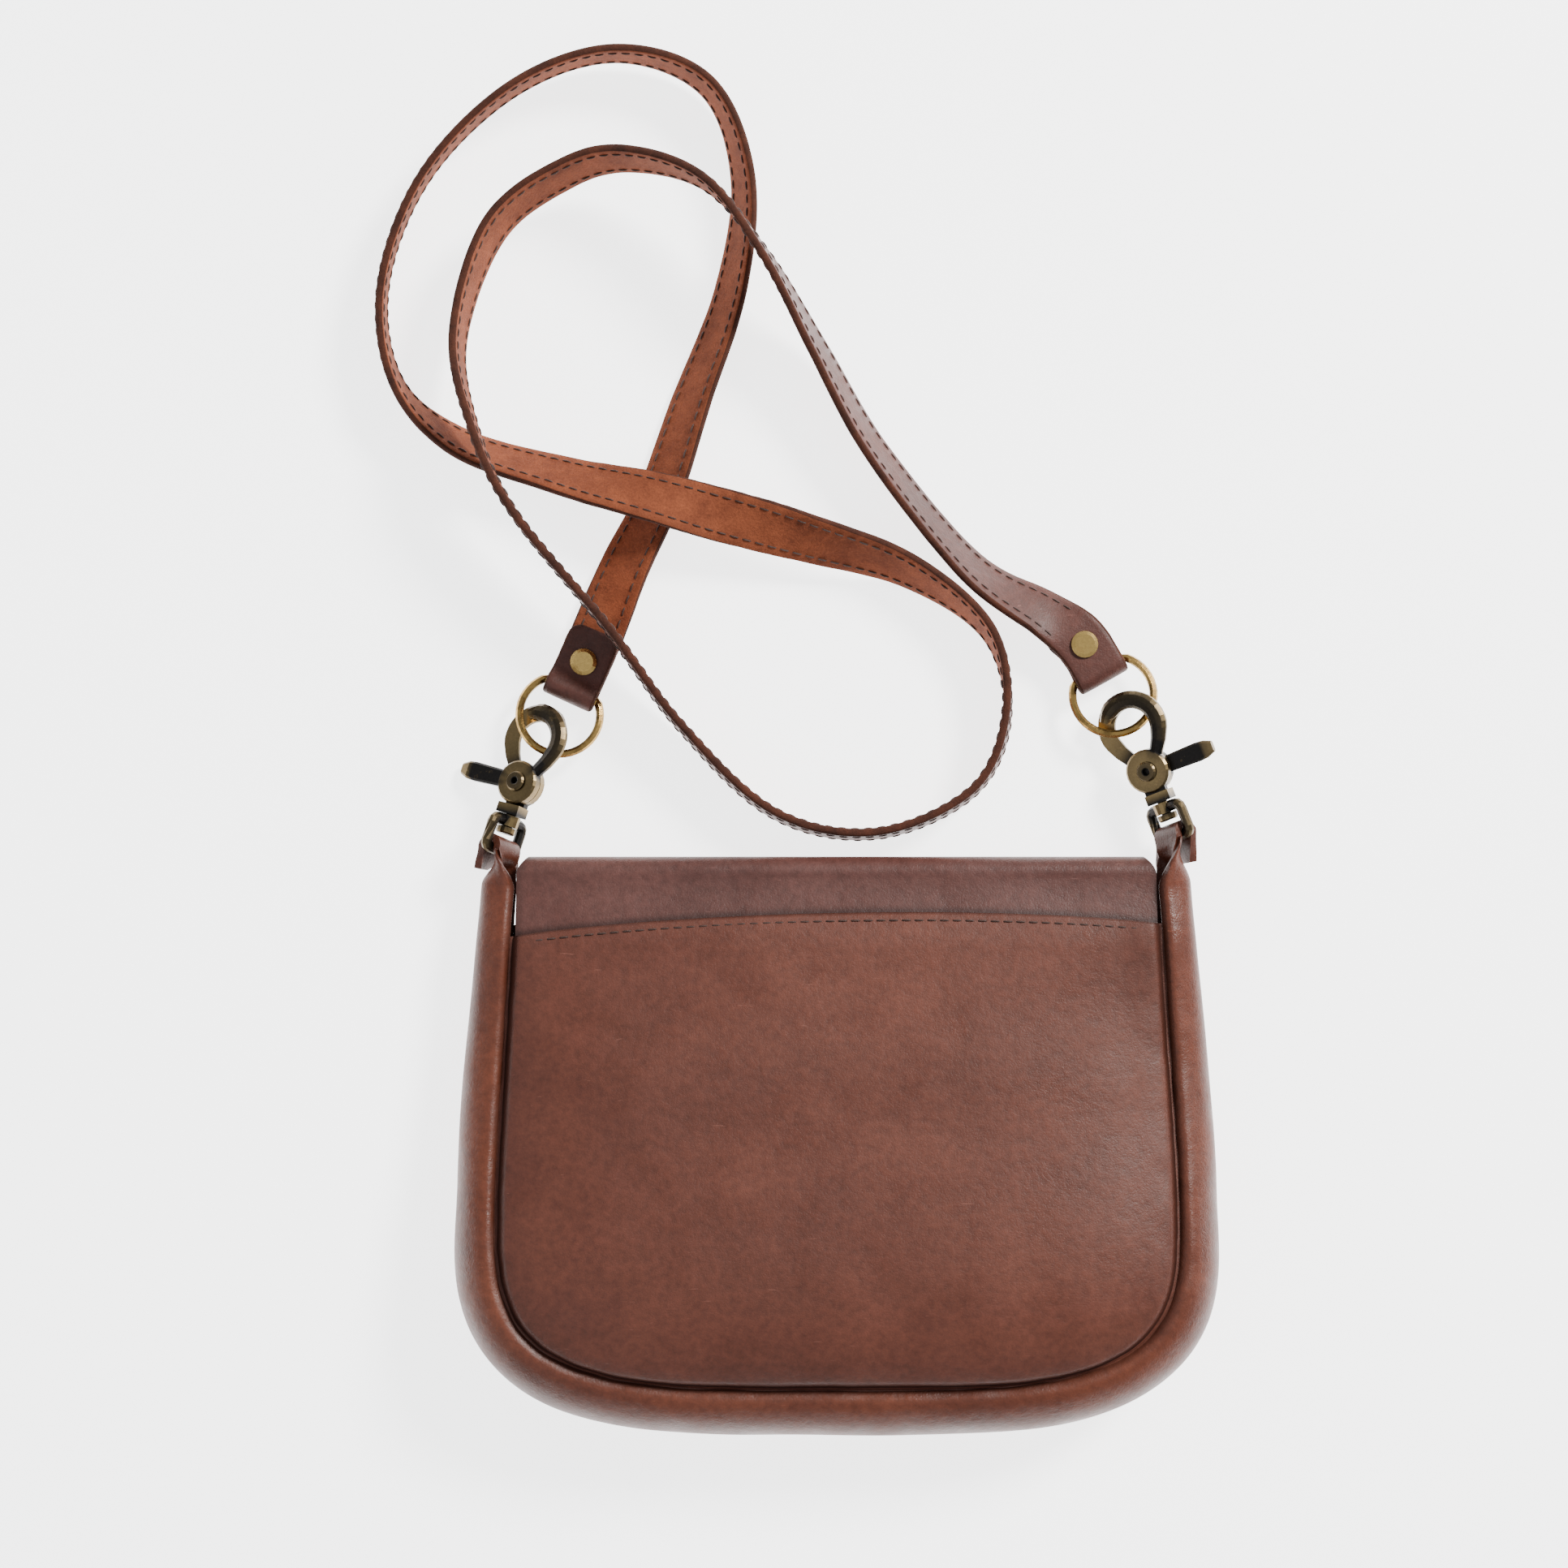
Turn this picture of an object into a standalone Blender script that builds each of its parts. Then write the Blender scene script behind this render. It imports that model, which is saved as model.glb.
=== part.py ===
"""A leather crossbody purse that lies on its front, with its back uppermost and its strap laid out.

The origin is on the table under the middle of the body. +X is to the right, +Y is towards the mouth and
the strap, and +Z is up from the table. All sizes are in metres.
"""

import math

import bmesh
import bpy
from mathutils import Matrix, Vector

MM = 0.001
GAP = 0.3 * MM  # clearance between pieces that touch

# Leather
LEATHER = 2.2 * MM  # thickness of the body leather
STRAP_WIDTH = 16.0 * MM
STRAP_THICK = 2.3 * MM

# Body outline, at the seams
BODY_WIDTH = 198.8 * MM  # seam to seam at the widest
SIDE_TAPER = 4.4 * MM  # how far each side draws in towards the mouth
WIDEST_Y = -10.0 * MM
BOTTOM_DEPTH = 58.8 * MM  # from the widest line to the bottom seam
CORNER_POWER = 3.8  # superellipse power of the bottom corners
CORNER_BEND = 110.0 * MM  # how much more finely the corners are divided than the sides
MOUTH_Y = 79.4 * MM  # where the flap starts to fold over

# Heights of the body as it lies
FRONT_SEAM_Z = 4.0 * MM
BACK_SEAM_Z = 38.0 * MM
MOUTH_SEAM_Z = 22.0 * MM
PILLOW = 8.0 * MM  # how far the back panel swells over its seam
FRONT_RISE = 2.0 * MM  # how far the front panel is pushed in by the closure
SIDE_BULGE = 11.5 * MM  # how far the gusset rolls out past the seam
BOTTOM_BULGE = 15.0 * MM
GUSSET_TOP_Y = 75.0 * MM  # above this the gusset narrows into its tips
TIP_STATIONS = 6  # of the strip between the body and the eye's bar
TAB_WIDTHS = (1.0, 0.95, 0.85, 0.6)  # of the folded tab, down to its rounded end
TAB_GAP = 2 * GAP
TAB_CLOSES = 12.0 * MM  # how far below the bar the tab meets the strip

# Flap
FOLD_RADIUS = 5.0 * MM  # outside radius of the fold over the mouth
FOLD_Z = 11.0 * MM
YOKE_DROP = LEATHER + 2 * GAP  # from the back panel's outer face to the yoke's
YOKE_LAP = 7.0 * MM  # how far the yoke runs under the back panel's edge
ARCH_Y = 63.0 * MM  # the back panel's top edge at its ends
ARCH_RISE = 5.0 * MM
FLAP_HALF_WIDTH = BODY_WIDTH / 2 - 8.4 * MM
FLAP_END_Y = -45.0 * MM
FLAP_CORNER_Y = -5.0 * MM
FRONT_TOP_Y = 64.0 * MM

# Magnetic closure
SNAP_Y = -26.0 * MM
SNAP_RADIUS = 8.0 * MM
STUD_PLATE = 0.8 * MM
STUD_RADIUS = 3.0 * MM
STUD_HEIGHT = 1.3 * MM
SOCKET_THICK = 1.9 * MM
WASHER_THICK = 0.8 * MM

# Scissor snap hook, from its pivot: +Y to the ring, +X to the lever, +Z to the fixed jaw
DISC_RADIUS = 6.6 * MM
DISC_THICK = 2.95 * MM
JAW_WIDTH = 5.2 * MM
JAW_THICK = 2.7 * MM
RING_RADIUS = 8.3 * MM
RING_Y = 14.0 * MM
LEVER_LENGTH = 20.5 * MM
LEVER_WIDTH = 6.0 * MM
PIVOT_RADIUS = 1.6 * MM
PIVOT_HEAD_RADIUS = 3.0 * MM
PIVOT_HEAD = 0.9 * MM
SPRING_WIRE = 0.35 * MM  # radius
SPRING_RADIUS = 3.2 * MM
POCKET_RADIUS = 4.6 * MM
POCKET_DEPTH = 1.4 * MM
STEM_RADIUS = 1.5 * MM
STEM_HEAD_RADIUS = 3.0 * MM
STEM_HEAD = 2.0 * MM
BASE_WIDTH = 7.4 * MM

# Swivel eye, from its bar: +X along the bar, +Y to the hook
EYE_WIRE = 1.6 * MM  # radius
EYE_SPAN = 14.0 * MM  # between the middles of its arms
BAR_TO_PIVOT = 21.0 * MM
EYE_LENGTH = 9.2 * MM  # from the middle of the bar to the middle of the bridge
BRIDGE_THICK = 3.3 * MM
BRIDGE_RADIUS = 3.2 * MM

# D-ring
D_WIRE = 1.25 * MM  # radius
D_RADIUS = 12.0 * MM
D_DROP = 8.3 * MM  # from the middle of the round part to the straight bar

# Strap ends
TAIL_LENGTH = 19.0 * MM
RIVET_FROM_BAR = 9.2 * MM
RIVET_CAP_RADIUS = 4.0 * MM
RIVET_CAP = 1.1 * MM
RIVET_SHANK = 1.4 * MM  # radius
RIVET_SLACK = 0.45 * MM  # round the shank and under the heads

# How each side's hardware lies: the eye bar, the hook's lean, slope and roll in degrees, and the fixed
# jaw's side. The D-ring's bar is where the strap ends.
BAR_TILT = 35.0
SIDES = {
    "left": {"out": -1, "bar": (-100.1, 86.2, 12.9), "lean": 17.5, "slope": 7.4, "roll": 27.9, "jaw_up": -1},
    "right": {"out": 1, "bar": (100.9, 90.4, 12.5), "lean": -21.0, "slope": 3.7, "roll": 27.9, "jaw_up": 1},
}
D_SWING = 12.0  # degrees the rings rise from their bars

# The strap's route from the left ring to the right one: x and y in mm, roll in degrees, and how many mm
# it is held up over the height at which it would rest on the table
STRAP_ROUTE = (
    (-79.2, 134.2, 0, 1.6),
    (-71.8, 150.6, 4, 1.4),
    (-63.2, 171.3, 22, 0.4),
    (-53.0, 192.0, 33, 0.2),
    (-43.4, 220.1, 43, 0.2),
    (-31.4, 253.8, 55, 0.2),
    (-27.8, 287.3, 69, 0.2),
    (-38.6, 314.2, 82, 2),
    (-65.5, 323.2, 92, 4),
    (-95.7, 313.0, 94, 4),
    (-122.2, 287.8, 95, 2),
    (-135.0, 255.7, 94, 1),
    (-131.6, 227.0, 85, 0.2),
    (-113.4, 208.6, 58, 0.2),
    (-82.0, 198.1, 42, 3.2),
    (-50.0, 190.0, 14, 12.0),
    (-8.0, 179.0, -34, 6),
    (22.6, 169.2, -61, 1),
    (45.6, 151.4, -83, 0.2),
    (51.1, 126.9, -97, 0.2),
    (41.1, 104.0, -97, 0.2),
    (12.3, 91.2, -96, 0.2),
    (-18.4, 97.2, -95, 0.2),
    (-46.2, 123.2, -94, 2),
    (-67.6, 152.2, -93, 9),
    (-94.8, 185.6, -91, 14),
    (-106.6, 210.5, -90, 15.5),
    (-111.9, 238.6, -84, 8),
    (-101.4, 270.8, -74, 6),
    (-80.0, 286.4, -74, 9),
    (-61.2, 289.8, -80, 13),
    (-38.6, 281.8, -91, 18),
    (-21.2, 261.2, -100, 16),
    (-5.4, 235.4, -111, 5),
    (12.0, 205.6, -118, 1),
    (40.0, 171.4, -127, 0.6),
    (62.0, 157.2, -152, 3.0),
    (70.6, 151.2, -176, 7.0),
    (75.0, 146.4, -180, 7.5),
    (78.9, 139.8, -180, 7.6),
)
STRAP_STEP = 9.0 * MM
REST_LIFT = 0.1  # mm under the strap where it rests


# Small mathematics


def smooth(low, high, value):
    t = min(1.0, max(0.0, (value - low) / (high - low)))
    return t * t * (3.0 - 2.0 * t)


def catmull_rom(points, per_span):
    """A smooth curve through tuples of any length."""
    found = []
    last = len(points) - 1
    for i in range(last):
        p0, p1, p2, p3 = points[max(i - 1, 0)], points[i], points[i + 1], points[min(i + 2, last)]
        for k in range(per_span):
            t = k / per_span
            found.append(
                tuple(
                    0.5 * (2 * b + (c - a) * t + (2 * a - 5 * b + 4 * c - d) * t**2 + (3 * b - a - 3 * c + d) * t**3)
                    for a, b, c, d in zip(p0, p1, p2, p3)
                )
            )
    found.append(tuple(points[last]))
    return found


def resample(rows, count, bend=0.0):
    """Rows of numbers, the first three of them a place, at even distances along their path.

    bend is a length: each radian that the path turns counts as that much more of it.
    """
    lengths = [0.0]
    before = None
    for a, b in zip(rows, rows[1:]):
        along = Vector(b[:3]) - Vector(a[:3])
        turn = along.angle(before, 0.0) if before else 0.0
        lengths.append(lengths[-1] + along.length + bend * turn)
        before = along
    found = []
    k = 0
    for i in range(count + 1):
        want = lengths[-1] * i / count
        while k < len(lengths) - 2 and lengths[k + 1] < want:
            k += 1
        t = (want - lengths[k]) / (lengths[k + 1] - lengths[k])
        found.append(tuple(a + (b - a) * t for a, b in zip(rows[k], rows[k + 1])))
    return found


# Meshes


def new_object(name, verts, faces, material, matrix=None):
    mesh = bpy.data.meshes.new(name)
    mesh.from_pydata([tuple(v) for v in verts], [], faces)
    tidy = bmesh.new()
    tidy.from_mesh(mesh)
    bmesh.ops.remove_doubles(tidy, verts=tidy.verts, dist=2e-6)
    bmesh.ops.recalc_face_normals(tidy, faces=tidy.faces)
    tidy.to_mesh(mesh)
    tidy.free()
    mesh.shade_smooth()
    mesh.set_sharp_from_angle(angle=math.radians(35))
    mesh.materials.append(material)
    obj = bpy.data.objects.new(name, mesh)
    bpy.context.scene.collection.objects.link(obj)
    if matrix is not None:
        obj.matrix_world = matrix
    return obj


def helper(obj):
    """Marks a shape that only joins or cuts another."""
    obj.hide_render = True
    obj.display_type = "WIRE"
    return obj


def combine(obj, other, operation):
    modifier = obj.modifiers.new(operation.lower(), "BOOLEAN")
    modifier.operation = operation
    modifier.solver = "EXACT"
    modifier.object = helper(other)


def swept(rings, closed=False):
    """(verts, faces) of a solid through rings of points, with flat ends or closed on itself."""
    count = len(rings[0])
    verts = [point for ring in rings for point in ring]
    faces = []
    spans = len(rings) if closed else len(rings) - 1
    for i in range(spans):
        j = (i + 1) % len(rings)
        for k in range(count):
            m = (k + 1) % count
            faces.append((i * count + k, i * count + m, j * count + m, j * count + k))
    if not closed:
        faces.append(tuple(range(count)))
        faces.append(tuple((len(rings) - 1) * count + k for k in range(count)))
    return verts, faces


def turned(profile, segments=24, closed=False):
    """(verts, faces) of a profile of (radius, height) turned round Z."""
    verts = []
    rows = []
    for radius, height in profile:
        if radius < 1e-9:
            rows.append([len(verts)])
            verts.append(Vector((0, 0, height)))
            continue
        rows.append(list(range(len(verts), len(verts) + segments)))
        for k in range(segments):
            angle = 2 * math.pi * k / segments
            verts.append(Vector((radius * math.cos(angle), radius * math.sin(angle), height)))
    faces = []
    pairs = list(zip(rows, rows[1:]))
    if closed:
        pairs.append((rows[-1], rows[0]))
    for low, high in pairs:
        for k in range(segments):
            m = (k + 1) % segments
            face = {low[k % len(low)]: 0, low[m % len(low)]: 0, high[m % len(high)]: 0, high[k % len(high)]: 0}
            if len(face) > 2:
                faces.append(tuple(face))
    return verts, faces


def moved(shape, matrix):
    verts, faces = shape
    return [matrix @ v for v in verts], faces


def wire_rings(path, radius, sides, closed=False):
    """Round sections along a path in space, turned as little as possible from one to the next."""
    rings = []
    side = None
    for i, point in enumerate(path):
        if closed:
            along = path[(i + 1) % len(path)] - path[i - 1]
        else:
            along = path[min(i + 1, len(path) - 1)] - path[max(i - 1, 0)]
        along.normalize()
        if side is None:
            side = along.orthogonal()
        side = (side - along * side.dot(along)).normalized()
        other = along.cross(side)
        ring = []
        for k in range(sides):
            angle = 2 * math.pi * k / sides
            ring.append(point + (side * math.cos(angle) + other * math.sin(angle)) * radius)
        rings.append(ring)
    return rings


def sheet(outer, inner):
    """(verts, faces) of a closed sheet between two grids of points of the same size."""
    rows, columns = len(outer), len(outer[0])
    size = rows * columns
    verts = [p for row in outer for p in row] + [p for row in inner for p in row]
    faces = []
    for i in range(rows - 1):
        for j in range(columns - 1):
            a = i * columns + j
            quad = (a, a + 1, a + columns + 1, a + columns)
            faces.append(quad)
            faces.append(tuple(size + v for v in reversed(quad)))
    border = [j for j in range(columns)]
    border += [i * columns + columns - 1 for i in range(1, rows)]
    border += [(rows - 1) * columns + j for j in range(columns - 2, -1, -1)]
    border += [i * columns for i in range(rows - 2, 0, -1)]
    for a, b in zip(border, border[1:] + border[:1]):
        faces.append((a, size + a, size + b, b))
    return verts, faces


# The body's outline and surfaces


def half_width(y):
    """Half the distance between the side seams."""
    t = max(0.0, (y - WIDEST_Y) / (MOUTH_Y - WIDEST_Y))
    return BODY_WIDTH / 2 - SIDE_TAPER * t**1.3


def level(x, y):
    """0 in the middle of the panel, 1 on its seam."""
    if y >= WIDEST_Y:
        return abs(x) / half_width(y)
    across = (abs(x) / (BODY_WIDTH / 2)) ** CORNER_POWER
    down = ((WIDEST_Y - y) / BOTTOM_DEPTH) ** CORNER_POWER
    return (across + down) ** (1 / CORNER_POWER)


def seam_path(left_y, right_y, inset, count):
    """The seam from the left side round the bottom to the right, as points in the plane."""
    fine = []
    for i in range(40):
        y = left_y + (WIDEST_Y - left_y) * i / 40
        fine.append((-half_width(y) + inset, y, 0.0))
    for i in range(181):
        angle = math.pi * i / 180
        c, s = math.cos(angle), math.sin(angle)
        x = -math.copysign(abs(c) ** (2 / CORNER_POWER), c) * (BODY_WIDTH / 2 - inset)
        fine.append((x, WIDEST_Y - abs(s) ** (2 / CORNER_POWER) * (BOTTOM_DEPTH - inset), 0.0))
    for i in range(1, 41):
        y = WIDEST_Y + (right_y - WIDEST_Y) * i / 40
        fine.append((half_width(y) - inset, y, 0.0))
    return [Vector(p) for p in resample(fine, count, CORNER_BEND)]


def back_seam(y):
    """Height of the back panel's seam: the body is a wedge, deepest along the bottom."""
    deep = BACK_SEAM_Z - (BACK_SEAM_Z - MOUTH_SEAM_Z) * smooth(-60 * MM, 45 * MM, y)
    fold_top = FOLD_Z + FOLD_RADIUS + YOKE_DROP
    return deep - (MOUTH_SEAM_Z - fold_top) * smooth(58 * MM, MOUTH_Y, y)


def flap_under(y):
    """Height of the flap's outer face, which lies on the table and lifts to the fold."""
    return (FOLD_Z - FOLD_RADIUS) * smooth(45 * MM, MOUTH_Y, y)


def front_seam(y):
    return FRONT_SEAM_Z + 3.6 * MM * smooth(30 * MM, FRONT_TOP_Y, y)


def back_height(x, y):
    swell = PILLOW * (1 - smooth(15 * MM, MOUTH_Y, y))
    return back_seam(y) + swell * (1 - level(x, y) ** 5)


def front_height(x, y):
    return front_seam(y) + FRONT_RISE * (1 - level(x, y) ** 4) * (1 - smooth(30 * MM, FRONT_TOP_Y, y))


def arch(x):
    """The back panel's top edge, which is higher to the right."""
    t = min(1.0, abs(x) / (95.2 * MM))
    return ARCH_Y + ARCH_RISE * (1 - t * t) ** 0.8 + 0.02 * x


def bulge(point):
    """How far the gusset rolls out at a point of the seam."""
    low = smooth(WIDEST_Y, WIDEST_Y - BOTTOM_DEPTH, point.y) if point.y < WIDEST_Y else 0.0
    high = smooth(0, GUSSET_TOP_Y, point.y)
    return SIDE_BULGE + (BOTTOM_BULGE - SIDE_BULGE) * low - 2.5 * MM * high


def panel(name, top, height, thickness, material, columns=40, rows=15):
    """A panel from its top edge to the seam. Its outer face follows height, thickness is up or down."""
    edge_x = half_width(ARCH_Y) - GAP
    bottom = seam_path(top(-edge_x), top(edge_x), GAP, columns)
    outer, inner = [], []
    for i, low in enumerate(bottom):
        x = bottom[0].x + (bottom[-1].x - bottom[0].x) * i / columns
        high = Vector((x, top(x), 0))
        outer.append([])
        inner.append([])
        for j in range(rows + 1):
            point = high.lerp(low, j / rows - 0.11 * math.sin(2 * math.pi * j / rows))
            z = height(point.x, point.y)
            outer[-1].append(Vector((point.x, point.y, z)))
            inner[-1].append(Vector((point.x, point.y, z + thickness)))
    return new_object(name, *sheet(outer, inner), material)


# Materials


def material(name, colour, roughness, metallic=0.0):
    made = bpy.data.materials.new(name)
    made.use_nodes = True
    shader = made.node_tree.nodes["Principled BSDF"]
    shader.inputs["Base Color"].default_value = (*colour, 1.0)
    shader.inputs["Roughness"].default_value = roughness
    shader.inputs["Metallic"].default_value = metallic
    return made


# Pieces of the body


def bar_frame(side):
    """The swivel eye's frame: X along its bar, Y along the hook, Z out and down from the bag."""
    lean, slope = math.radians(side["lean"]), math.radians(side["slope"])
    along = Vector((math.sin(lean) * math.cos(slope), math.cos(lean) * math.cos(slope), -math.sin(slope)))
    tilt = math.radians(BAR_TILT)
    bar = Vector((side["out"] * math.sin(tilt), 0, math.cos(tilt)))
    bar = (bar - along * bar.dot(along)).normalized()
    out = bar.cross(along)
    if out.x * side["out"] < 0:
        bar, out = -bar, -out
    place = Vector(side["bar"]) * MM
    return Matrix.Translation(place) @ Matrix((bar, along, out)).transposed().to_4x4()


def hook_frame(side):
    """The hook's frame: origin on the pivot, Y to the ring, Z to the fixed jaw's side."""
    along = bar_frame(side).col[1].to_3d()
    roll = math.radians(side["roll"])
    up = Vector((-math.sin(roll), 0, math.cos(roll))) * side["jaw_up"]
    up = (up - along * up.dot(along)).normalized()
    place = Vector(side["bar"]) * MM + along * BAR_TO_PIVOT
    return Matrix.Translation(place) @ Matrix((along.cross(up), along, up)).transposed().to_4x4()


def gusset_wrap(side):
    """Stations of the strip's turn over the eye's bar, from the body's side to the outside."""
    frame_now = bar_frame(side)
    centre = frame_now.translation
    bar, along, out = (frame_now.col[i].to_3d() for i in range(3))
    if bar.z < 0:
        bar = -bar
    half = (EYE_SPAN - 2 * EYE_WIRE) / 2 - GAP
    turn = EYE_WIRE + GAP + LEATHER / 2
    stations = []
    for i in range(9):
        angle = math.pi * i / 8
        radial = -out * math.cos(angle) + along * math.sin(angle)
        stations.append((centre + radial * turn, bar, -radial, half, 0.0))
    return stations


def gusset_tip(side, body_end):
    """(strip from the eye down to the body, the turn over the eye's bar and the tab folded down outside)."""
    wrap = gusset_wrap(side)
    strip = between(wrap[0], body_end)
    tab = []
    across = (wrap[-1][0] - wrap[0][0]).length
    for (middle, chord, out, half, swell), share in zip(strip, TAB_WIDTHS):
        closed = smooth(0, TAB_CLOSES, (middle - wrap[0][0]).length)
        lie = middle + out * (swell + across + (LEATHER + TAB_GAP - across) * closed)
        tab.append((lie, chord, -out, wrap[-1][3] * share, 0.0))
    return strip, wrap + tab


def gusset_stations():
    """(middle, chord direction, outward normal, half chord, bulge) along the whole strip."""
    path = seam_path(GUSSET_TOP_Y, GUSSET_TOP_Y, 0.0, 46)
    body = []
    for i, point in enumerate(path):
        along = path[min(i + 1, len(path) - 1)] - path[max(i - 1, 0)]
        out = Vector((along.y, -along.x, 0)).normalized()
        low = front_seam(point.y) + LEATHER / 2
        high = back_seam(point.y) - LEATHER / 2
        middle = Vector((point.x, point.y, (low + high) / 2))
        body.append((middle, Vector((0, 0, 1)), out, (high - low) / 2, bulge(point)))
    left_strip, left_tip = gusset_tip(SIDES["left"], body[0])
    right_strip, right_tip = gusset_tip(SIDES["right"], body[-1])
    return left_tip[::-1] + left_strip + body + right_strip[::-1] + right_tip


def between(start, end):
    """Stations that carry the strip's middle, chord and bulge from the eye's bar down to the body."""
    found = []
    a, d = start[0], end[0]
    down = Vector((0, -(a - d).length * 0.35, 0))
    for i in range(1, TIP_STATIONS + 1):
        t = i / (TIP_STATIONS + 1)
        s = t * t * (3 - 2 * t)
        middle = a * (1 - t) ** 3 + (a + down) * 3 * t * (1 - t) ** 2
        middle += (d - down) * 3 * t * t * (1 - t) + d * t**3
        chord = start[1].lerp(end[1], s).normalized()
        out = start[2].lerp(end[2], s)
        out = (out - chord * out.dot(chord)).normalized()
        half = start[3] + (end[3] - start[3]) * s
        found.append((middle, chord, out, half, start[4] + (end[4] - start[4]) * s))
    return found


def gusset(leather):
    rings = []
    steps = 10
    for middle, chord, out, half, swell in gusset_stations():
        outside, inside = [], []
        for k in range(steps + 1):
            angle = math.pi * (k / steps - 0.5)
            place = middle + chord * half * math.sin(angle) + out * swell * math.cos(angle)
            normal = chord * math.sin(angle) * swell + out * (math.cos(angle) * half + 1e-7)
            normal.normalize()
            outside.append(place + normal * LEATHER / 2)
            inside.append(place - normal * LEATHER / 2)
        rings.append(outside + inside[::-1])
    return new_object("gusset", *swept(rings), leather)


def flap_yoke(leather):
    """The flap's back end, from under the back panel's edge to the middle of the fold."""
    columns, rows, turns = 30, 6, 4
    outer, inner = [], []
    for i in range(columns + 1):
        share = 2 * i / columns - 1
        outer.append([])
        inner.append([])
        for j in range(rows + turns + 1):
            if j <= rows:
                x = share * (half_width(MOUTH_Y) - GAP)
                y = arch(x) - YOKE_LAP + (MOUTH_Y - arch(x) + YOKE_LAP) * j / rows
                z = back_height(x, y) - YOKE_DROP
                outer[-1].append(Vector((x, y, z)))
                inner[-1].append(Vector((x, y, z - LEATHER)))
                continue
            angle = (math.pi / 2 - GAP / FOLD_RADIUS) * (j - rows) / turns
            x = share * (half_width(MOUTH_Y) - GAP - 3.2 * MM * smooth(0, 1, angle / 1.5))
            for row, radius in ((outer[-1], FOLD_RADIUS), (inner[-1], FOLD_RADIUS - LEATHER)):
                row.append(Vector((x, MOUTH_Y + radius * math.sin(angle), FOLD_Z + radius * math.cos(angle))))
    return new_object("flap_yoke", *sheet(outer, inner), leather)


def flap_profile():
    """(y, z, normal y, normal z) of the front flap's middle, from the fold to its free end."""
    middle = FOLD_RADIUS - LEATHER / 2
    rows = []
    for i in range(5):
        angle = math.pi / 2 + GAP / FOLD_RADIUS + (math.pi / 2 - GAP / FOLD_RADIUS) * i / 4
        normal = (math.sin(angle), math.cos(angle))
        rows.append((MOUTH_Y + middle * normal[0], FOLD_Z + middle * normal[1], *normal))
    flat = [(MOUTH_Y - (MOUTH_Y - 42 * MM) * i / 8) for i in range(1, 9)]
    flat += [42 * MM + (FLAP_CORNER_Y - 42 * MM) * i / 4 for i in range(1, 5)]
    flat += [FLAP_CORNER_Y + (FLAP_END_Y - FLAP_CORNER_Y) * math.sin(math.radians(a)) for a in range(10, 81, 10)]
    flat.append(FLAP_END_Y)
    rows += [(y, flap_under(y) + LEATHER / 2, 0.0, -1.0) for y in flat]
    return rows


def flap_half_width(y):
    if y >= FLAP_CORNER_Y:
        return FLAP_HALF_WIDTH
    t = min(0.97, (FLAP_CORNER_Y - y) / (FLAP_CORNER_Y - FLAP_END_Y))
    return FLAP_HALF_WIDTH * (1 - t**3) ** (1 / 3)


def flap_hinge():
    """On the outside of the fold, where the leather's skin doesn't stretch."""
    return Vector((0, MOUTH_Y + FOLD_RADIUS, FOLD_Z))


def front_flap(leather):
    columns = 14
    outer, inner = [], []
    for i in range(columns + 1):
        share = 2 * i / columns - 1
        outer.append([])
        inner.append([])
        for y, z, ny, nz in flap_profile():
            middle = Vector((share * flap_half_width(y), y, z)) - flap_hinge()
            normal = Vector((0, ny, nz)) * LEATHER / 2
            outer[-1].append(middle + normal)
            inner[-1].append(middle - normal)
    return new_object("front_flap", *sheet(outer, inner), leather, Matrix.Translation(flap_hinge()))


# The closure


def snap_parts(brass):
    place = Matrix.Translation(Vector((0, SNAP_Y, 0)))
    plate_low = LEATHER + GAP
    plate_high = plate_low + STUD_PLATE
    stud_top = plate_high + STUD_HEIGHT
    stud = [(0, plate_low), (SNAP_RADIUS - MM, plate_low), (SNAP_RADIUS - MM, plate_high)]
    stud += [(STUD_RADIUS, plate_high), (STUD_RADIUS, stud_top - 0.3 * MM)]
    stud += [(STUD_RADIUS - 0.3 * MM, stud_top), (0, stud_top)]
    new_object("snap_stud", *turned(stud), brass, place)
    low = plate_high + GAP
    high = front_height(0, SNAP_Y) - GAP
    hole = STUD_RADIUS + 2 * GAP
    ceiling = stud_top + GAP
    socket = [(hole, low), (SNAP_RADIUS, low), (SNAP_RADIUS, high - 0.3 * MM)]
    socket += [(SNAP_RADIUS - 0.3 * MM, high), (0, high)]
    socket = [(0, ceiling), (hole, ceiling)] + socket
    new_object("snap_socket", *turned(socket), brass, place)
    bottom = front_height(0, SNAP_Y) + LEATHER + 2 * GAP
    top = bottom + WASHER_THICK
    washer = [(3 * MM, bottom), (SNAP_RADIUS + MM, bottom), (SNAP_RADIUS + MM, top), (3 * MM, top)]
    new_object("snap_washer", *turned(washer, closed=True), brass, place)


# The hook


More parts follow.
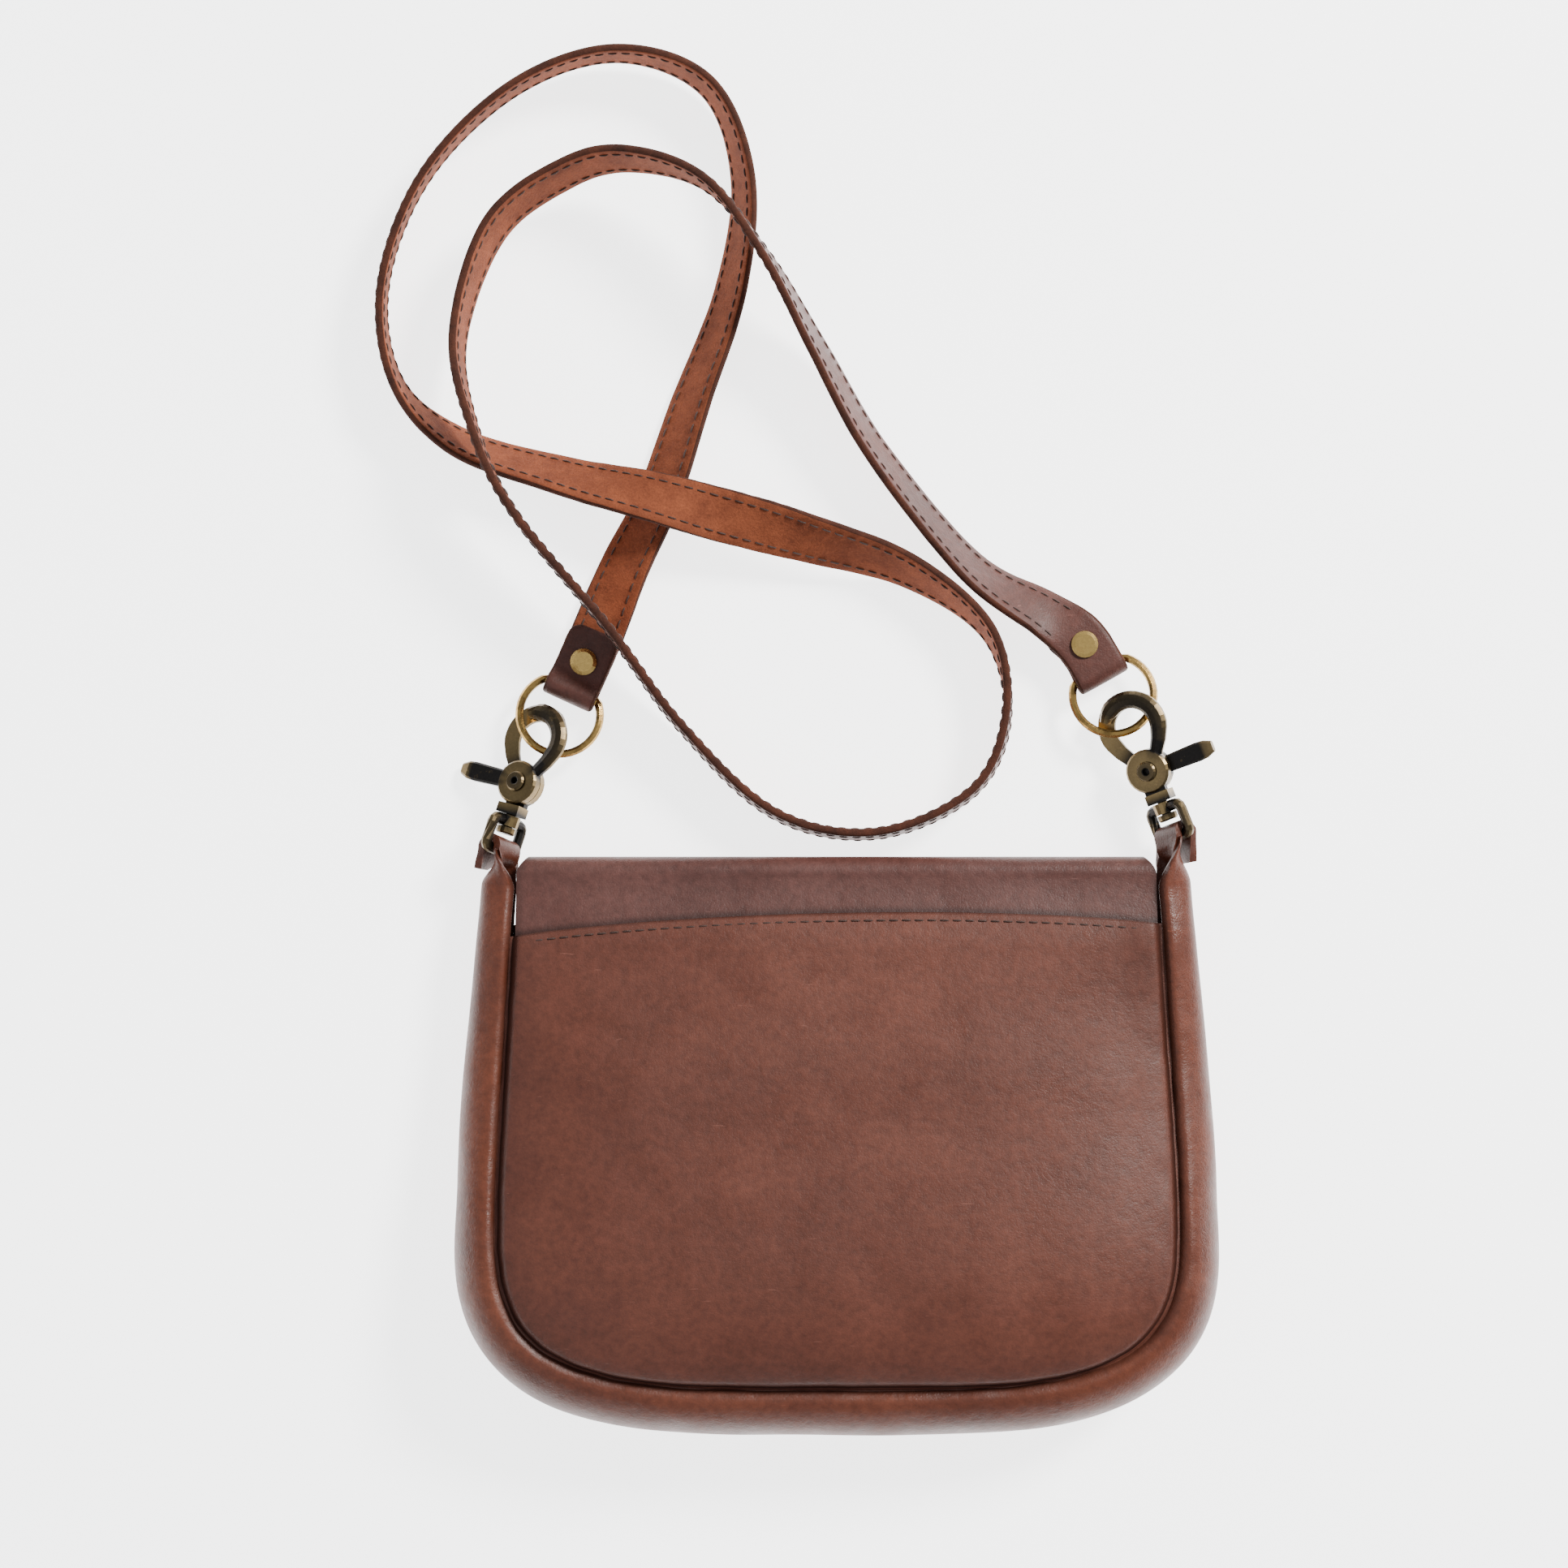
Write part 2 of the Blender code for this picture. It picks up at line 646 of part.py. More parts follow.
def jaw_rings(way):
    """Sections of one jaw, in the hook's frame. way is 1 for the fixed jaw, -1 for the moving one."""
    path = [Vector((3.0, 2.6, 0)) * MM, Vector((4.6, 5.2, 0)) * MM, Vector((6.4, 8.0, 0)) * MM]
    for degrees in range(-20, 151 if way > 0 else 121, 10):
        angle = math.radians(degrees)
        path.append(Vector((RING_RADIUS * math.cos(angle), RING_Y + RING_RADIUS * math.sin(angle), 0)))
    rings = []
    for i, point in enumerate(path):
        along = (path[min(i + 1, len(path) - 1)] - path[max(i - 1, 0)]).normalized()
        out = Vector((along.y, -along.x, 0))
        slim = 0.72 + 0.28 * smooth(0, 4, i)
        slim *= 1.0 - 0.35 * smooth(len(path) - 4, len(path) - 1, i)
        half = JAW_WIDTH / 2 * slim
        foot = GAP / 2 + 0.02 * MM
        ring = []
        for across, high in ((-1, 0), (-1, 0.42), (-0.62, 0.84), (0, 1), (0.62, 0.84), (1, 0.42), (1, 0)):
            place = point + out * across * half
            place.z = foot + high * JAW_THICK * (0.7 + 0.3 * slim)
            ring.append(Vector((place.x * way, place.y, place.z * way)))
        rings.append(ring)
    return rings


def disc_shape(way):
    """A disc of the hook, with the pivot's hole and the spring's pocket on its inner face."""
    low, high = GAP / 2, GAP / 2 + DISC_THICK
    hole = PIVOT_RADIUS + GAP
    profile = [(hole, low + POCKET_DEPTH), (POCKET_RADIUS, low + POCKET_DEPTH), (POCKET_RADIUS, low)]
    profile += [(DISC_RADIUS, low), (DISC_RADIUS, high - 0.6 * MM), (DISC_RADIUS - 0.6 * MM, high), (hole, high)]
    verts, faces = turned([(r, z * way) for r, z in profile], closed=True)
    return verts, faces


def box_shape(low, high):
    corners = []
    for x in (low[0], high[0]):
        for y in (low[1], high[1]):
            corners += [Vector((x, y, low[2])), Vector((x, y, high[2]))]
    faces = [(0, 1, 3, 2), (4, 6, 7, 5), (0, 4, 5, 1), (2, 3, 7, 6), (0, 2, 6, 4), (1, 5, 7, 3)]
    return corners, faces


def along_y(profile, segments=16):
    """A profile of (radius, y) turned round the hook's own Y axis."""
    return moved(turned(profile, segments), Matrix.Rotation(-math.pi / 2, 4, "X"))


def hook_body(name, frame, brass):
    """The fixed jaw, its disc, the base and the swivel stem with its head."""
    body = new_object(name, *disc_shape(1), brass, frame)
    jaw = new_object(name + "_jaw", *swept(jaw_rings(1)), brass, frame)
    combine(body, jaw, "UNION")
    near, far = -(BAR_TO_PIVOT - EYE_LENGTH - BRIDGE_THICK / 2 - GAP), -DISC_RADIUS - GAP
    upper = GAP / 2 + DISC_THICK - 0.35 * MM
    block = box_shape((-BASE_WIDTH / 2, near, -DISC_THICK), (BASE_WIDTH / 2, far, upper))
    base = new_object(name + "_base", *block, brass, frame)
    combine(body, base, "UNION")
    side = BASE_WIDTH / 2 - 0.4 * MM
    neck = box_shape((-side, far - MM, GAP / 2 + 0.05 * MM), (side, -4.9 * MM, upper - 0.3 * MM))
    combine(body, new_object(name + "_neck", *neck, brass, frame), "UNION")
    head_near = near - BRIDGE_THICK - 2 * GAP
    head_far = head_near - STEM_HEAD
    stem = [(0, head_far), (STEM_HEAD_RADIUS - 0.5 * MM, head_far), (STEM_HEAD_RADIUS, head_far + 0.5 * MM)]
    stem += [(STEM_HEAD_RADIUS, head_near), (STEM_RADIUS, head_near), (STEM_RADIUS, near + MM), (0, near + MM)]
    combine(body, new_object(name + "_stem", *along_y(stem), brass, frame), "UNION")
    return body


def hook_trigger(name, frame, brass):
    """The moving jaw, its disc and the thumb lever."""
    trigger = new_object(name, *disc_shape(-1), brass, frame)
    jaw = new_object(name + "_jaw", *swept(jaw_rings(-1)), brass, frame)
    combine(trigger, jaw, "UNION")
    rings = []
    for i in range(7):
        t = i / 6
        x = 5.2 * MM + (LEVER_LENGTH - 5.2 * MM) * t
        half = LEVER_WIDTH / 2 * (0.85 + 0.15 * t) * (1.0 if i < 5 else (0.9 if i == 5 else 0.55))
        thick = DISC_THICK * (0.92 if i < 6 else 0.7)
        top = -GAP / 2 - 0.05 * MM
        ring = [(-half, top - 0.5 * MM), (-half + 0.6 * MM, top), (half - 0.6 * MM, top), (half, top - 0.5 * MM)]
        ring += [(half, top - thick + 0.5 * MM), (half - 0.6 * MM, top - thick), (-half + 0.6 * MM, top - thick)]
        ring += [(-half, top - thick + 0.5 * MM)]
        rings.append([Vector((x, y, z)) for y, z in ring])
    combine(trigger, new_object(name + "_lever", *swept(rings), brass, frame), "UNION")
    return trigger


def pivot_rivet(name, frame, brass):
    reach = GAP / 2 + DISC_THICK + GAP
    top = reach + PIVOT_HEAD
    bore = 1.0 * MM
    profile = [(0, reach - MM), (bore, reach - MM), (bore, top - 0.15 * MM), (bore + 0.3 * MM, top)]
    profile += [(PIVOT_HEAD_RADIUS - 0.5 * MM, top), (PIVOT_HEAD_RADIUS, reach + 0.3 * MM), (PIVOT_HEAD_RADIUS, reach)]
    profile += [(PIVOT_RADIUS, reach)]
    profile += [(radius, -height) for radius, height in profile[::-1]]
    return new_object(name, *turned(profile, 20), brass, frame)


def trigger_spring(name, frame, steel):
    path = []
    turns, per_turn = 2, 14
    pitch = 2 * SPRING_WIRE + 0.15 * MM
    for i in range(turns * per_turn + 1):
        angle = 2 * math.pi * i / per_turn
        height = pitch * (i / per_turn - turns / 2)
        path.append(Vector((SPRING_RADIUS * math.cos(angle), SPRING_RADIUS * math.sin(angle), height)))
    return new_object(name, *swept(wire_rings(path, SPRING_WIRE, 6)), steel, frame)


def swivel_eye(name, frame, brass):
    half, corner = EYE_SPAN / 2, 1.8 * MM
    path = []
    for cx, cy, first in ((half, EYE_LENGTH, 0), (-half, EYE_LENGTH, 90), (-half, 0, 180), (half, 0, 270)):
        inset_x = cx - math.copysign(corner, cx)
        inset_y = cy - corner if cy > 0 else cy + corner
        for degrees in (0, 30, 60, 90):
            angle = math.radians(first + degrees)
            path.append(Vector((inset_x + corner * math.cos(angle), inset_y + corner * math.sin(angle), 0)))
    eye = new_object(name, *swept(wire_rings(path, EYE_WIRE, 10, True), True), brass, frame)
    low, high = EYE_LENGTH - BRIDGE_THICK / 2, EYE_LENGTH + BRIDGE_THICK / 2
    boss = [(0, low), (BRIDGE_RADIUS, low), (BRIDGE_RADIUS, high), (0, high)]
    combine(eye, new_object(name + "_boss", *along_y(boss), brass, frame), "UNION")
    wall = STEM_RADIUS + GAP
    hole = [(0, low - 2 * MM), (wall, low - 2 * MM), (wall, high + 2 * MM), (0, high + 2 * MM)]
    combine(eye, new_object(name + "_hole", *along_y(hole), brass, frame), "DIFFERENCE")
    return eye


# The strap and its rings


def strap_main():
    """(place, width direction, flesh-side direction) at even steps from the left ring to the right one."""
    rows = []
    for x, y, roll, lift in catmull_rom(STRAP_ROUTE, 8):
        lean = math.radians(roll)
        rest = STRAP_WIDTH / 2 * abs(math.sin(lean)) + STRAP_THICK / 2 * abs(math.cos(lean))
        rows.append((x * MM, y * MM, rest + max(lift, REST_LIFT) * MM, lean))
    length = sum(math.dist(a[:3], b[:3]) for a, b in zip(rows, rows[1:]))
    rows = resample(rows, round(3 * length / STRAP_STEP))
    stations = []
    for i, (x, y, z, lean) in enumerate(rows):
        a, b = rows[max(i - 1, 0)], rows[min(i + 1, len(rows) - 1)]
        along = Vector((b[0] - a[0], b[1] - a[1], b[2] - a[2])).normalized()
        right = along.cross(Vector((0, 0, 1))).normalized()
        up = right.cross(along)
        width = right * math.cos(lean) + up * math.sin(lean)
        flesh = up * math.cos(lean) - right * math.sin(lean)
        stations.append((Vector((x, y, z)), width, flesh))
    return stations


def strap_end(stations):
    """(place, width, flesh) from the folded tail's tip to the ring's bar, where the stations start."""
    turn = D_WIRE + GAP + STRAP_THICK / 2
    lift = STRAP_THICK + GAP
    step = (stations[1][0] - stations[0][0]).length
    found = []
    for k in range(round(TAIL_LENGTH / step), 0, -1):
        place, width, flesh = stations[k]
        away = lift + (2 * turn - lift) * (1 - smooth(0, RIVET_FROM_BAR - RIVET_CAP_RADIUS - GAP, k * step))
        found.append((place + flesh * away, width, -flesh))
    place, width, flesh = stations[0]
    along = (stations[1][0] - place).normalized()
    centre = place + flesh * turn
    for i in range(9):
        angle = math.pi * i / 8
        radial = flesh * math.cos(angle) - along * math.sin(angle)
        found.append((centre + radial * turn, width, -radial))
    return found


def strap_stations():
    main = strap_main()
    left = strap_end(main)
    right = strap_end(main[::-1])
    kept = [main[i] for i in range(1, len(main) - 1) if i < 8 or i > len(main) - 9 or i % 3 == 0]
    return left + kept + right[::-1]


def strap(leather):
    rings = []
    for place, width, flesh in strap_stations():
        across, through = width * STRAP_WIDTH / 2, flesh * STRAP_THICK / 2
        rings.append([place - across - through, place + across - through])
        rings[-1] += [place + across + through, place - across + through]
    return new_object("strap", *swept(rings), leather)


def strap_end_frame(main, outside):
    """The rivet's frame: origin between the two layers, Z towards the side its cap is on."""
    step = (main[1][0] - main[0][0]).length
    k = int(RIVET_FROM_BAR / step)
    place, width, flesh = (a.lerp(b, RIVET_FROM_BAR / step - k) for a, b in zip(main[k], main[k + 1]))
    up = (flesh * outside).normalized()
    width = (width - up * width.dot(up)).normalized()
    centre = place + flesh * (STRAP_THICK + GAP) / 2
    return Matrix.Translation(centre) @ Matrix((width, up.cross(width), up)).transposed().to_4x4()


def d_ring(name, main, brass):
    """A D-ring whose straight bar lies in the fold of the strap."""
    place, width, flesh = main[0]
    along = (main[1][0] - place).normalized()
    swing = math.radians(D_SWING)
    up = flesh if flesh.z > 0 else -flesh
    reach = -along * math.cos(swing) + up * math.sin(swing)
    centre = place + flesh * (D_WIRE + GAP + STRAP_THICK / 2)
    frame = Matrix.Translation(centre) @ Matrix((width, reach, width.cross(reach))).transposed().to_4x4()
    half = math.sqrt(D_RADIUS**2 - D_DROP**2)
    path = [Vector((half * t, 0, 0)) for t in (-0.96, -0.5, 0, 0.5, 0.96)]
    start = math.atan2(-D_DROP, half)
    round_part = 2 * math.pi - (math.pi + 2 * start)
    for i in range(33):
        angle = start + 0.06 + (round_part - 0.12) * i / 32
        path.append(Vector((D_RADIUS * math.cos(angle), D_DROP + D_RADIUS * math.sin(angle), 0)))
    return new_object(name, *swept(wire_rings(path, D_WIRE, 8, True), True), brass, frame)


def strap_rivet(side, frame, brass):
    """A double-cap rivet through both layers: a cap on one side, a flange and shank on the other."""
    layers = STRAP_THICK + (STRAP_THICK + GAP) / 2 - STRAP_THICK / 2
    low, high = -layers - RIVET_SLACK, layers + RIVET_SLACK
    socket = RIVET_SHANK + 0.2 * MM
    cap = [(0, high + 0.5 * MM), (socket, high + 0.5 * MM), (socket, high), (RIVET_CAP_RADIUS - 0.3 * MM, high)]
    cap += [(RIVET_CAP_RADIUS, high + 0.4 * MM), (RIVET_CAP_RADIUS - MM, high + RIVET_CAP), (0, high + RIVET_CAP)]
    new_object(side + "_rivet_cap", *turned(cap, 20), brass, frame)
    post = [(0, low - 0.6 * MM), (RIVET_CAP_RADIUS - 0.7 * MM, low - 0.6 * MM), (RIVET_CAP_RADIUS - 0.3 * MM, low)]
    post += [(RIVET_SHANK, low), (RIVET_SHANK, high + 0.2 * MM), (0, high + 0.2 * MM)]
    new_object(side + "_rivet_post", *turned(post, 20), brass, frame)
    reach = layers + 2 * MM
    wall = RIVET_SHANK + RIVET_SLACK
    hole = [(0, -reach), (wall, -reach), (wall, reach), (0, reach)]
    return new_object(side + "_rivet_hole", *turned(hole, 16), brass, frame)


# The whole purse


def clear_scene():
    for obj in list(bpy.data.objects):
        bpy.data.objects.remove(obj, do_unlink=True)


def main():
    clear_scene()
    panel_leather = material("panel_leather", (0.19, 0.078, 0.055), 0.6)
    gusset_leather = material("gusset_leather", (0.21, 0.072, 0.045), 0.55)
    strap_leather = material("strap_leather", (0.2, 0.07, 0.045), 0.7)
    antique_brass = material("antique_brass", (0.16, 0.13, 0.08), 0.38, 1.0)
    ring_brass = material("ring_brass", (0.42, 0.29, 0.11), 0.3, 1.0)
    steel = material("spring_steel", (0.5, 0.5, 0.5), 0.35, 1.0)

    panel("back_panel", arch, back_height, -LEATHER, panel_leather)
    panel("front_panel", lambda x: FRONT_TOP_Y, front_height, LEATHER, panel_leather)
    gusset(gusset_leather)
    flap_yoke(panel_leather)
    front_flap(panel_leather)
    snap_parts(antique_brass)

    for side, lay in SIDES.items():
        swivel_eye(side + "_swivel_eye", bar_frame(lay), antique_brass)
        frame = hook_frame(lay)
        hook_body(side + "_hook_body", frame, antique_brass)
        hook_trigger(side + "_hook_trigger", frame, antique_brass)
        pivot_rivet(side + "_pivot_rivet", frame, antique_brass)
        trigger_spring(side + "_trigger_spring", frame, steel)

    band = strap(strap_leather)
    route = strap_main()
    for side, stations, outside in (("left", route, 1), ("right", route[::-1], -1)):
        d_ring(side + "_d_ring", stations, ring_brass)
        hole = strap_rivet(side, strap_end_frame(stations, outside), ring_brass)
        combine(band, hole, "DIFFERENCE")


main()
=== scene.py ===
"""The looks of a leather crossbody purse that lies on its front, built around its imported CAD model."""

import math
import random

import bmesh
import bpy
from mathutils import Matrix, Vector, noise


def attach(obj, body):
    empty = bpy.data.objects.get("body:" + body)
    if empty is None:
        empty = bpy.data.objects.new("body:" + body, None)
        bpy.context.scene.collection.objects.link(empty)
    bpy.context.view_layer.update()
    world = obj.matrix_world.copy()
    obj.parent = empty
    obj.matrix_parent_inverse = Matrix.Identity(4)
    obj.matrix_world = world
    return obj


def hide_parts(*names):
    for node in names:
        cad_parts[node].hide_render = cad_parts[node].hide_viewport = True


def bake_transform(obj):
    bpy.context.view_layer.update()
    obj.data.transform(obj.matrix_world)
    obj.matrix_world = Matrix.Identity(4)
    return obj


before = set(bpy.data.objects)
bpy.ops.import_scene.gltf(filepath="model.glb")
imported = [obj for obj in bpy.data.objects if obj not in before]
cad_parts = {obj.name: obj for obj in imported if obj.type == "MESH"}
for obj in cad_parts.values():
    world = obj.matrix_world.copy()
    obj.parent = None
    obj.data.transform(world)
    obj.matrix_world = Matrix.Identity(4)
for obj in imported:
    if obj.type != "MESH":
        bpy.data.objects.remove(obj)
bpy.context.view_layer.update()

MM = 0.001
LEATHER = 2.2 * MM
GAP = 0.3 * MM


# Small mathematics


def smooth(low, high, value):
    t = min(1.0, max(0.0, (value - low) / (high - low)))
    return t * t * (3.0 - 2.0 * t)


def catmull_rom(points, per_span):
    found = []
    last = len(points) - 1
    for i in range(last):
        p0, p1, p2, p3 = points[max(i - 1, 0)], points[i], points[i + 1], points[min(i + 2, last)]
        for k in range(per_span):
            t = k / per_span
            values = []
            for a, b, c, d in zip(p0, p1, p2, p3):
                square = (2 * a - 5 * b + 4 * c - d) * t**2
                cube = (3 * b - a - 3 * c + d) * t**3
                values.append(0.5 * (2 * b + (c - a) * t + square + cube))
            found.append(tuple(values))
    found.append(tuple(points[last]))
    return found


def resample(rows, count, bend=0.0):
    """Rows of numbers that start with a place, at even distances; each radian of turn adds bend."""
    lengths = [0.0]
    before = None
    for a, b in zip(rows, rows[1:]):
        along = Vector(b[:3]) - Vector(a[:3])
        turn = along.angle(before, 0.0) if before else 0.0
        lengths.append(lengths[-1] + along.length + bend * turn)
        before = along
    found = []
    k = 0
    for i in range(count + 1):
        want = lengths[-1] * i / count
        while k < len(lengths) - 2 and lengths[k + 1] < want:
            k += 1
        t = (want - lengths[k]) / (lengths[k + 1] - lengths[k])
        found.append(tuple(a + (b - a) * t for a, b in zip(rows[k], rows[k + 1])))
    return found


def ripple(place, size, seed=0.0):
    """Smooth noise from -1 to 1 with lumps of about the given size in metres."""
    return noise.noise(Vector(place) / size + Vector((seed, seed * 1.7, -seed)))


# Meshes


def new_piece(name, verts, faces, materials, body=None, sharp=40, painted_shade=None, slots=None):
    mesh = bpy.data.meshes.new(name)
    mesh.from_pydata([tuple(v) for v in verts], [], faces)
    for made in materials:
        mesh.materials.append(made)
    if slots:
        mesh.polygons.foreach_set("material_index", slots)
    # Per-point amount of painted shade, which the leather materials mix in as a darker colour.
    if painted_shade:
        layer = mesh.attributes.new("painted_shade", "FLOAT", "POINT")
        layer.data.foreach_set("value", painted_shade)
    tidy = bmesh.new()
    tidy.from_mesh(mesh)
    bmesh.ops.remove_doubles(tidy, verts=tidy.verts, dist=1e-6)
    bmesh.ops.recalc_face_normals(tidy, faces=tidy.faces)
    tidy.to_mesh(mesh)
    tidy.free()
    mesh.shade_smooth()
    mesh.set_sharp_from_angle(angle=math.radians(sharp))
    obj = bpy.data.objects.new(name, mesh)
    bpy.context.scene.collection.objects.link(obj)
    if body:
        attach(obj, body)
    return obj


def swept(rings):
    count = len(rings[0])
    verts = [point for ring in rings for point in ring]
    faces = []
    for i in range(len(rings) - 1):
        for k in range(count):
            m = (k + 1) % count
            faces.append((i * count + k, i * count + m, (i + 1) * count + m, (i + 1) * count + k))
    faces.append(tuple(range(count)))
    faces.append(tuple((len(rings) - 1) * count + k for k in range(count)))
    return verts, faces


def sheet(outer, inner):
    rows, columns = len(outer), len(outer[0])
    size = rows * columns
    verts = [p for row in outer for p in row] + [p for row in inner for p in row]
    faces = []
    for i in range(rows - 1):
        for j in range(columns - 1):
            a = i * columns + j
            quad = (a, a + 1, a + columns + 1, a + columns)
            faces.append(quad)
            faces.append(tuple(size + v for v in reversed(quad)))
    border = list(range(columns))
    border += [i * columns + columns - 1 for i in range(1, rows)]
    border += [(rows - 1) * columns + j for j in range(columns - 2, -1, -1)]
    border += [i * columns for i in range(rows - 2, 0, -1)]
    for a, b in zip(border, border[1:] + border[:1]):
        faces.append((a, size + a, size + b, b))
    return verts, faces


# Camera: straight above, 800 mm over the table

camera_data = bpy.data.cameras.new("camera")
camera = bpy.data.objects.new("camera", camera_data)
bpy.context.scene.collection.objects.link(camera)
camera.location = (-15.5 * MM, 106 * MM, 800 * MM)
camera_data.sensor_width = 36.0
camera_data.lens = 60.85
bpy.context.scene.camera = camera


# The strap

STRAP_WIDTH = 16.0 * MM
STRAP_THICK = 2.3 * MM
D_WIRE = 1.25 * MM
TAIL_LENGTH = 19.0 * MM
RIVET_FROM_BAR = 9.2 * MM
RIVET_CAP_RADIUS = 4.0 * MM
STRAP_ROUTE = (
    (-79.2, 134.2, 0, 1.6),
    (-71.8, 150.6, 4, 1.4),
    (-63.2, 171.3, 22, 0.4),
    (-53.0, 192.0, 33, 0.2),
    (-43.4, 220.1, 43, 0.2),
    (-31.4, 253.8, 55, 0.2),
    (-27.8, 287.3, 69, 0.2),
    (-38.6, 314.2, 82, 2),
    (-65.5, 323.2, 92, 4),
    (-95.7, 313.0, 94, 4),
    (-122.2, 287.8, 95, 2),
    (-135.0, 255.7, 94, 1),
    (-131.6, 227.0, 85, 0.2),
    (-113.4, 208.6, 58, 0.2),
    (-82.0, 198.1, 42, 3.2),
    (-50.0, 190.0, 14, 12.0),
    (-8.0, 179.0, -34, 6),
    (22.6, 169.2, -61, 1),
    (45.6, 151.4, -83, 0.2),
    (51.1, 126.9, -97, 0.2),
    (41.1, 104.0, -97, 0.2),
    (12.3, 91.2, -96, 0.2),
    (-18.4, 97.2, -95, 0.2),
    (-46.2, 123.2, -94, 2),
    (-67.6, 152.2, -93, 9),
    (-94.8, 185.6, -91, 14),
    (-106.6, 210.5, -90, 15.5),
    (-111.9, 238.6, -84, 8),
    (-101.4, 270.8, -74, 6),
    (-80.0, 286.4, -74, 9),
    (-61.2, 289.8, -80, 13),
    (-38.6, 281.8, -91, 18),
    (-21.2, 261.2, -100, 16),
    (-5.4, 235.4, -111, 5),
    (12.0, 205.6, -118, 1),
    (40.0, 171.4, -127, 0.6),
    (62.0, 157.2, -152, 3.0),
    (70.6, 151.2, -176, 7.0),
    (75.0, 146.4, -180, 7.5),
    (78.9, 139.8, -180, 7.6),
)
REST_LIFT = 0.1  # mm under the strap where it rests
STRAP_STEP = 1.5 * MM
TAIL_ROUND = 5 * MM  # how far back from its end each tail is rounded


def strap_main(step):
    """(place, width, flesh side) at even steps along the middle, from the left ring to the right one."""
    rows = []
    for x, y, roll, lift in catmull_rom(STRAP_ROUTE, 12):
        lean = math.radians(roll)
        rest = STRAP_WIDTH / 2 * abs(math.sin(lean)) + STRAP_THICK / 2 * abs(math.cos(lean))
        rows.append((x * MM, y * MM, rest + max(lift, REST_LIFT) * MM, lean))
    length = sum(math.dist(a[:3], b[:3]) for a, b in zip(rows, rows[1:]))
    rows = resample(rows, round(length / step))
    stations = []
    for i, (x, y, z, lean) in enumerate(rows):
        a, b = rows[max(i - 1, 0)], rows[min(i + 1, len(rows) - 1)]
        along = Vector((b[0] - a[0], b[1] - a[1], b[2] - a[2])).normalized()
        right = along.cross(Vector((0, 0, 1))).normalized()
        up = right.cross(along)
        width = right * math.cos(lean) + up * math.sin(lean)
        flesh = up * math.cos(lean) - right * math.sin(lean)
        stations.append((Vector((x, y, z)), width, flesh))
    return stations


def strap_end(stations):
    """Stations of the folded tail, from its tip to the ring's bar and round it."""
    turn = D_WIRE + GAP + STRAP_THICK / 2
    lift = STRAP_THICK + GAP
    step = (stations[1][0] - stations[0][0]).length
    found = []
    closed = RIVET_FROM_BAR - RIVET_CAP_RADIUS - GAP
    for k in range(round(TAIL_LENGTH / step), 0, -1):
        place, width, flesh = stations[k]
        away = lift + (2 * turn - lift) * (1 - smooth(0, closed, k * step))
        found.append((place + flesh * away, width, -flesh))
    place, width, flesh = stations[0]
    along = (stations[1][0] - place).normalized()
    centre = place + flesh * turn
    for i in range(17):
        angle = math.pi * i / 16
        radial = flesh * math.cos(angle) - along * math.sin(angle)
        found.append((centre + radial * turn, width, -radial))
    return found


def strap_section(half_width, thick, wobble):
    """Points round a strap's section as (across, through) with worn corners, grain side first."""
    half = thick / 2
    corner = 0.7 * MM
    points = []
    for share in (-1, -0.82, -0.5, 0, 0.5, 0.82, 1):
        crown = 0.18 * MM * (1 - share**4)
        points.append((share * (half_width - corner), -half - crown * 0.4))
    points += [(half_width - 0.2 * MM, -half + 0.35 * MM), (half_width + wobble, -0.2 * half)]
    points += [(half_width + wobble * 0.6, 0.4 * half)]
    points += [(half_width - 0.25 * MM, half - 0.2 * MM)]
    for share in (1, 0.82, 0.5, 0, -0.5, -0.82, -1):
        points.append((share * (half_width - corner * 0.8), half))
    points += [(-half_width + 0.25 * MM, half - 0.2 * MM), (-half_width - wobble * 0.6, 0.4 * half)]
    points += [(-half_width - wobble, -0.2 * half), (-half_width + 0.2 * MM, -half + 0.35 * MM)]
    return points


def build_strap(materials):
    step = STRAP_STEP
    main = strap_main(step)
    left, right = strap_end(main), strap_end(main[::-1])
    stations = left + main[1:-1] + right[::-1]
    rings = []
    count = len(stations)
    tail = round(TAIL_ROUND / step)
    for i, (place, width, flesh) in enumerate(stations):
        from_tip = min(i, count - 1 - i)
        clip = 1.0
        if from_tip <= tail:
            clip = 0.62 + 0.38 * math.sqrt(max(0.0, 1 - (1 - from_tip / tail) ** 2))
        half = STRAP_WIDTH / 2 * clip + 0.12 * MM * ripple(place, 6 * MM, 3)
        thick = STRAP_THICK * (1 - 0.1 * (1 - min(1, from_tip / tail)))
        wobble = 0.1 * MM * ripple(place, 1.6 * MM, 8)
        rings.append([place + width * a + flesh * t for a, t in strap_section(half, thick, wobble)])
    verts, faces = swept(rings)
    per = len(rings[0])
    slots = []
    for i in range(count - 1):
        for k in range(per):
            flesh_side = FLESH_POINTS[0] <= k < FLESH_POINTS[1]
            slots.append(0 if k < GRAIN_POINTS else (1 if flesh_side else 2))
    slots += [2, 2]
    piece = new_piece("strap_leather", verts, faces, materials, "shell", 50, None, slots)
    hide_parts("strap")
    lines = []
    for across in (-1, 1):
        for face in (-1, 1):
            line = []
            for place, width, flesh in main[ROW_STARTS:-ROW_STARTS]:
                surface = place + width * across * ROW_OFFSET + flesh * face * ROW_HEIGHT
                line.append((surface, flesh * face))
            lines.append(line)
    sewn = stitches("strap_stitches", lines, 3.9 * MM, 0.24 * MM, seam_thread, "shell")


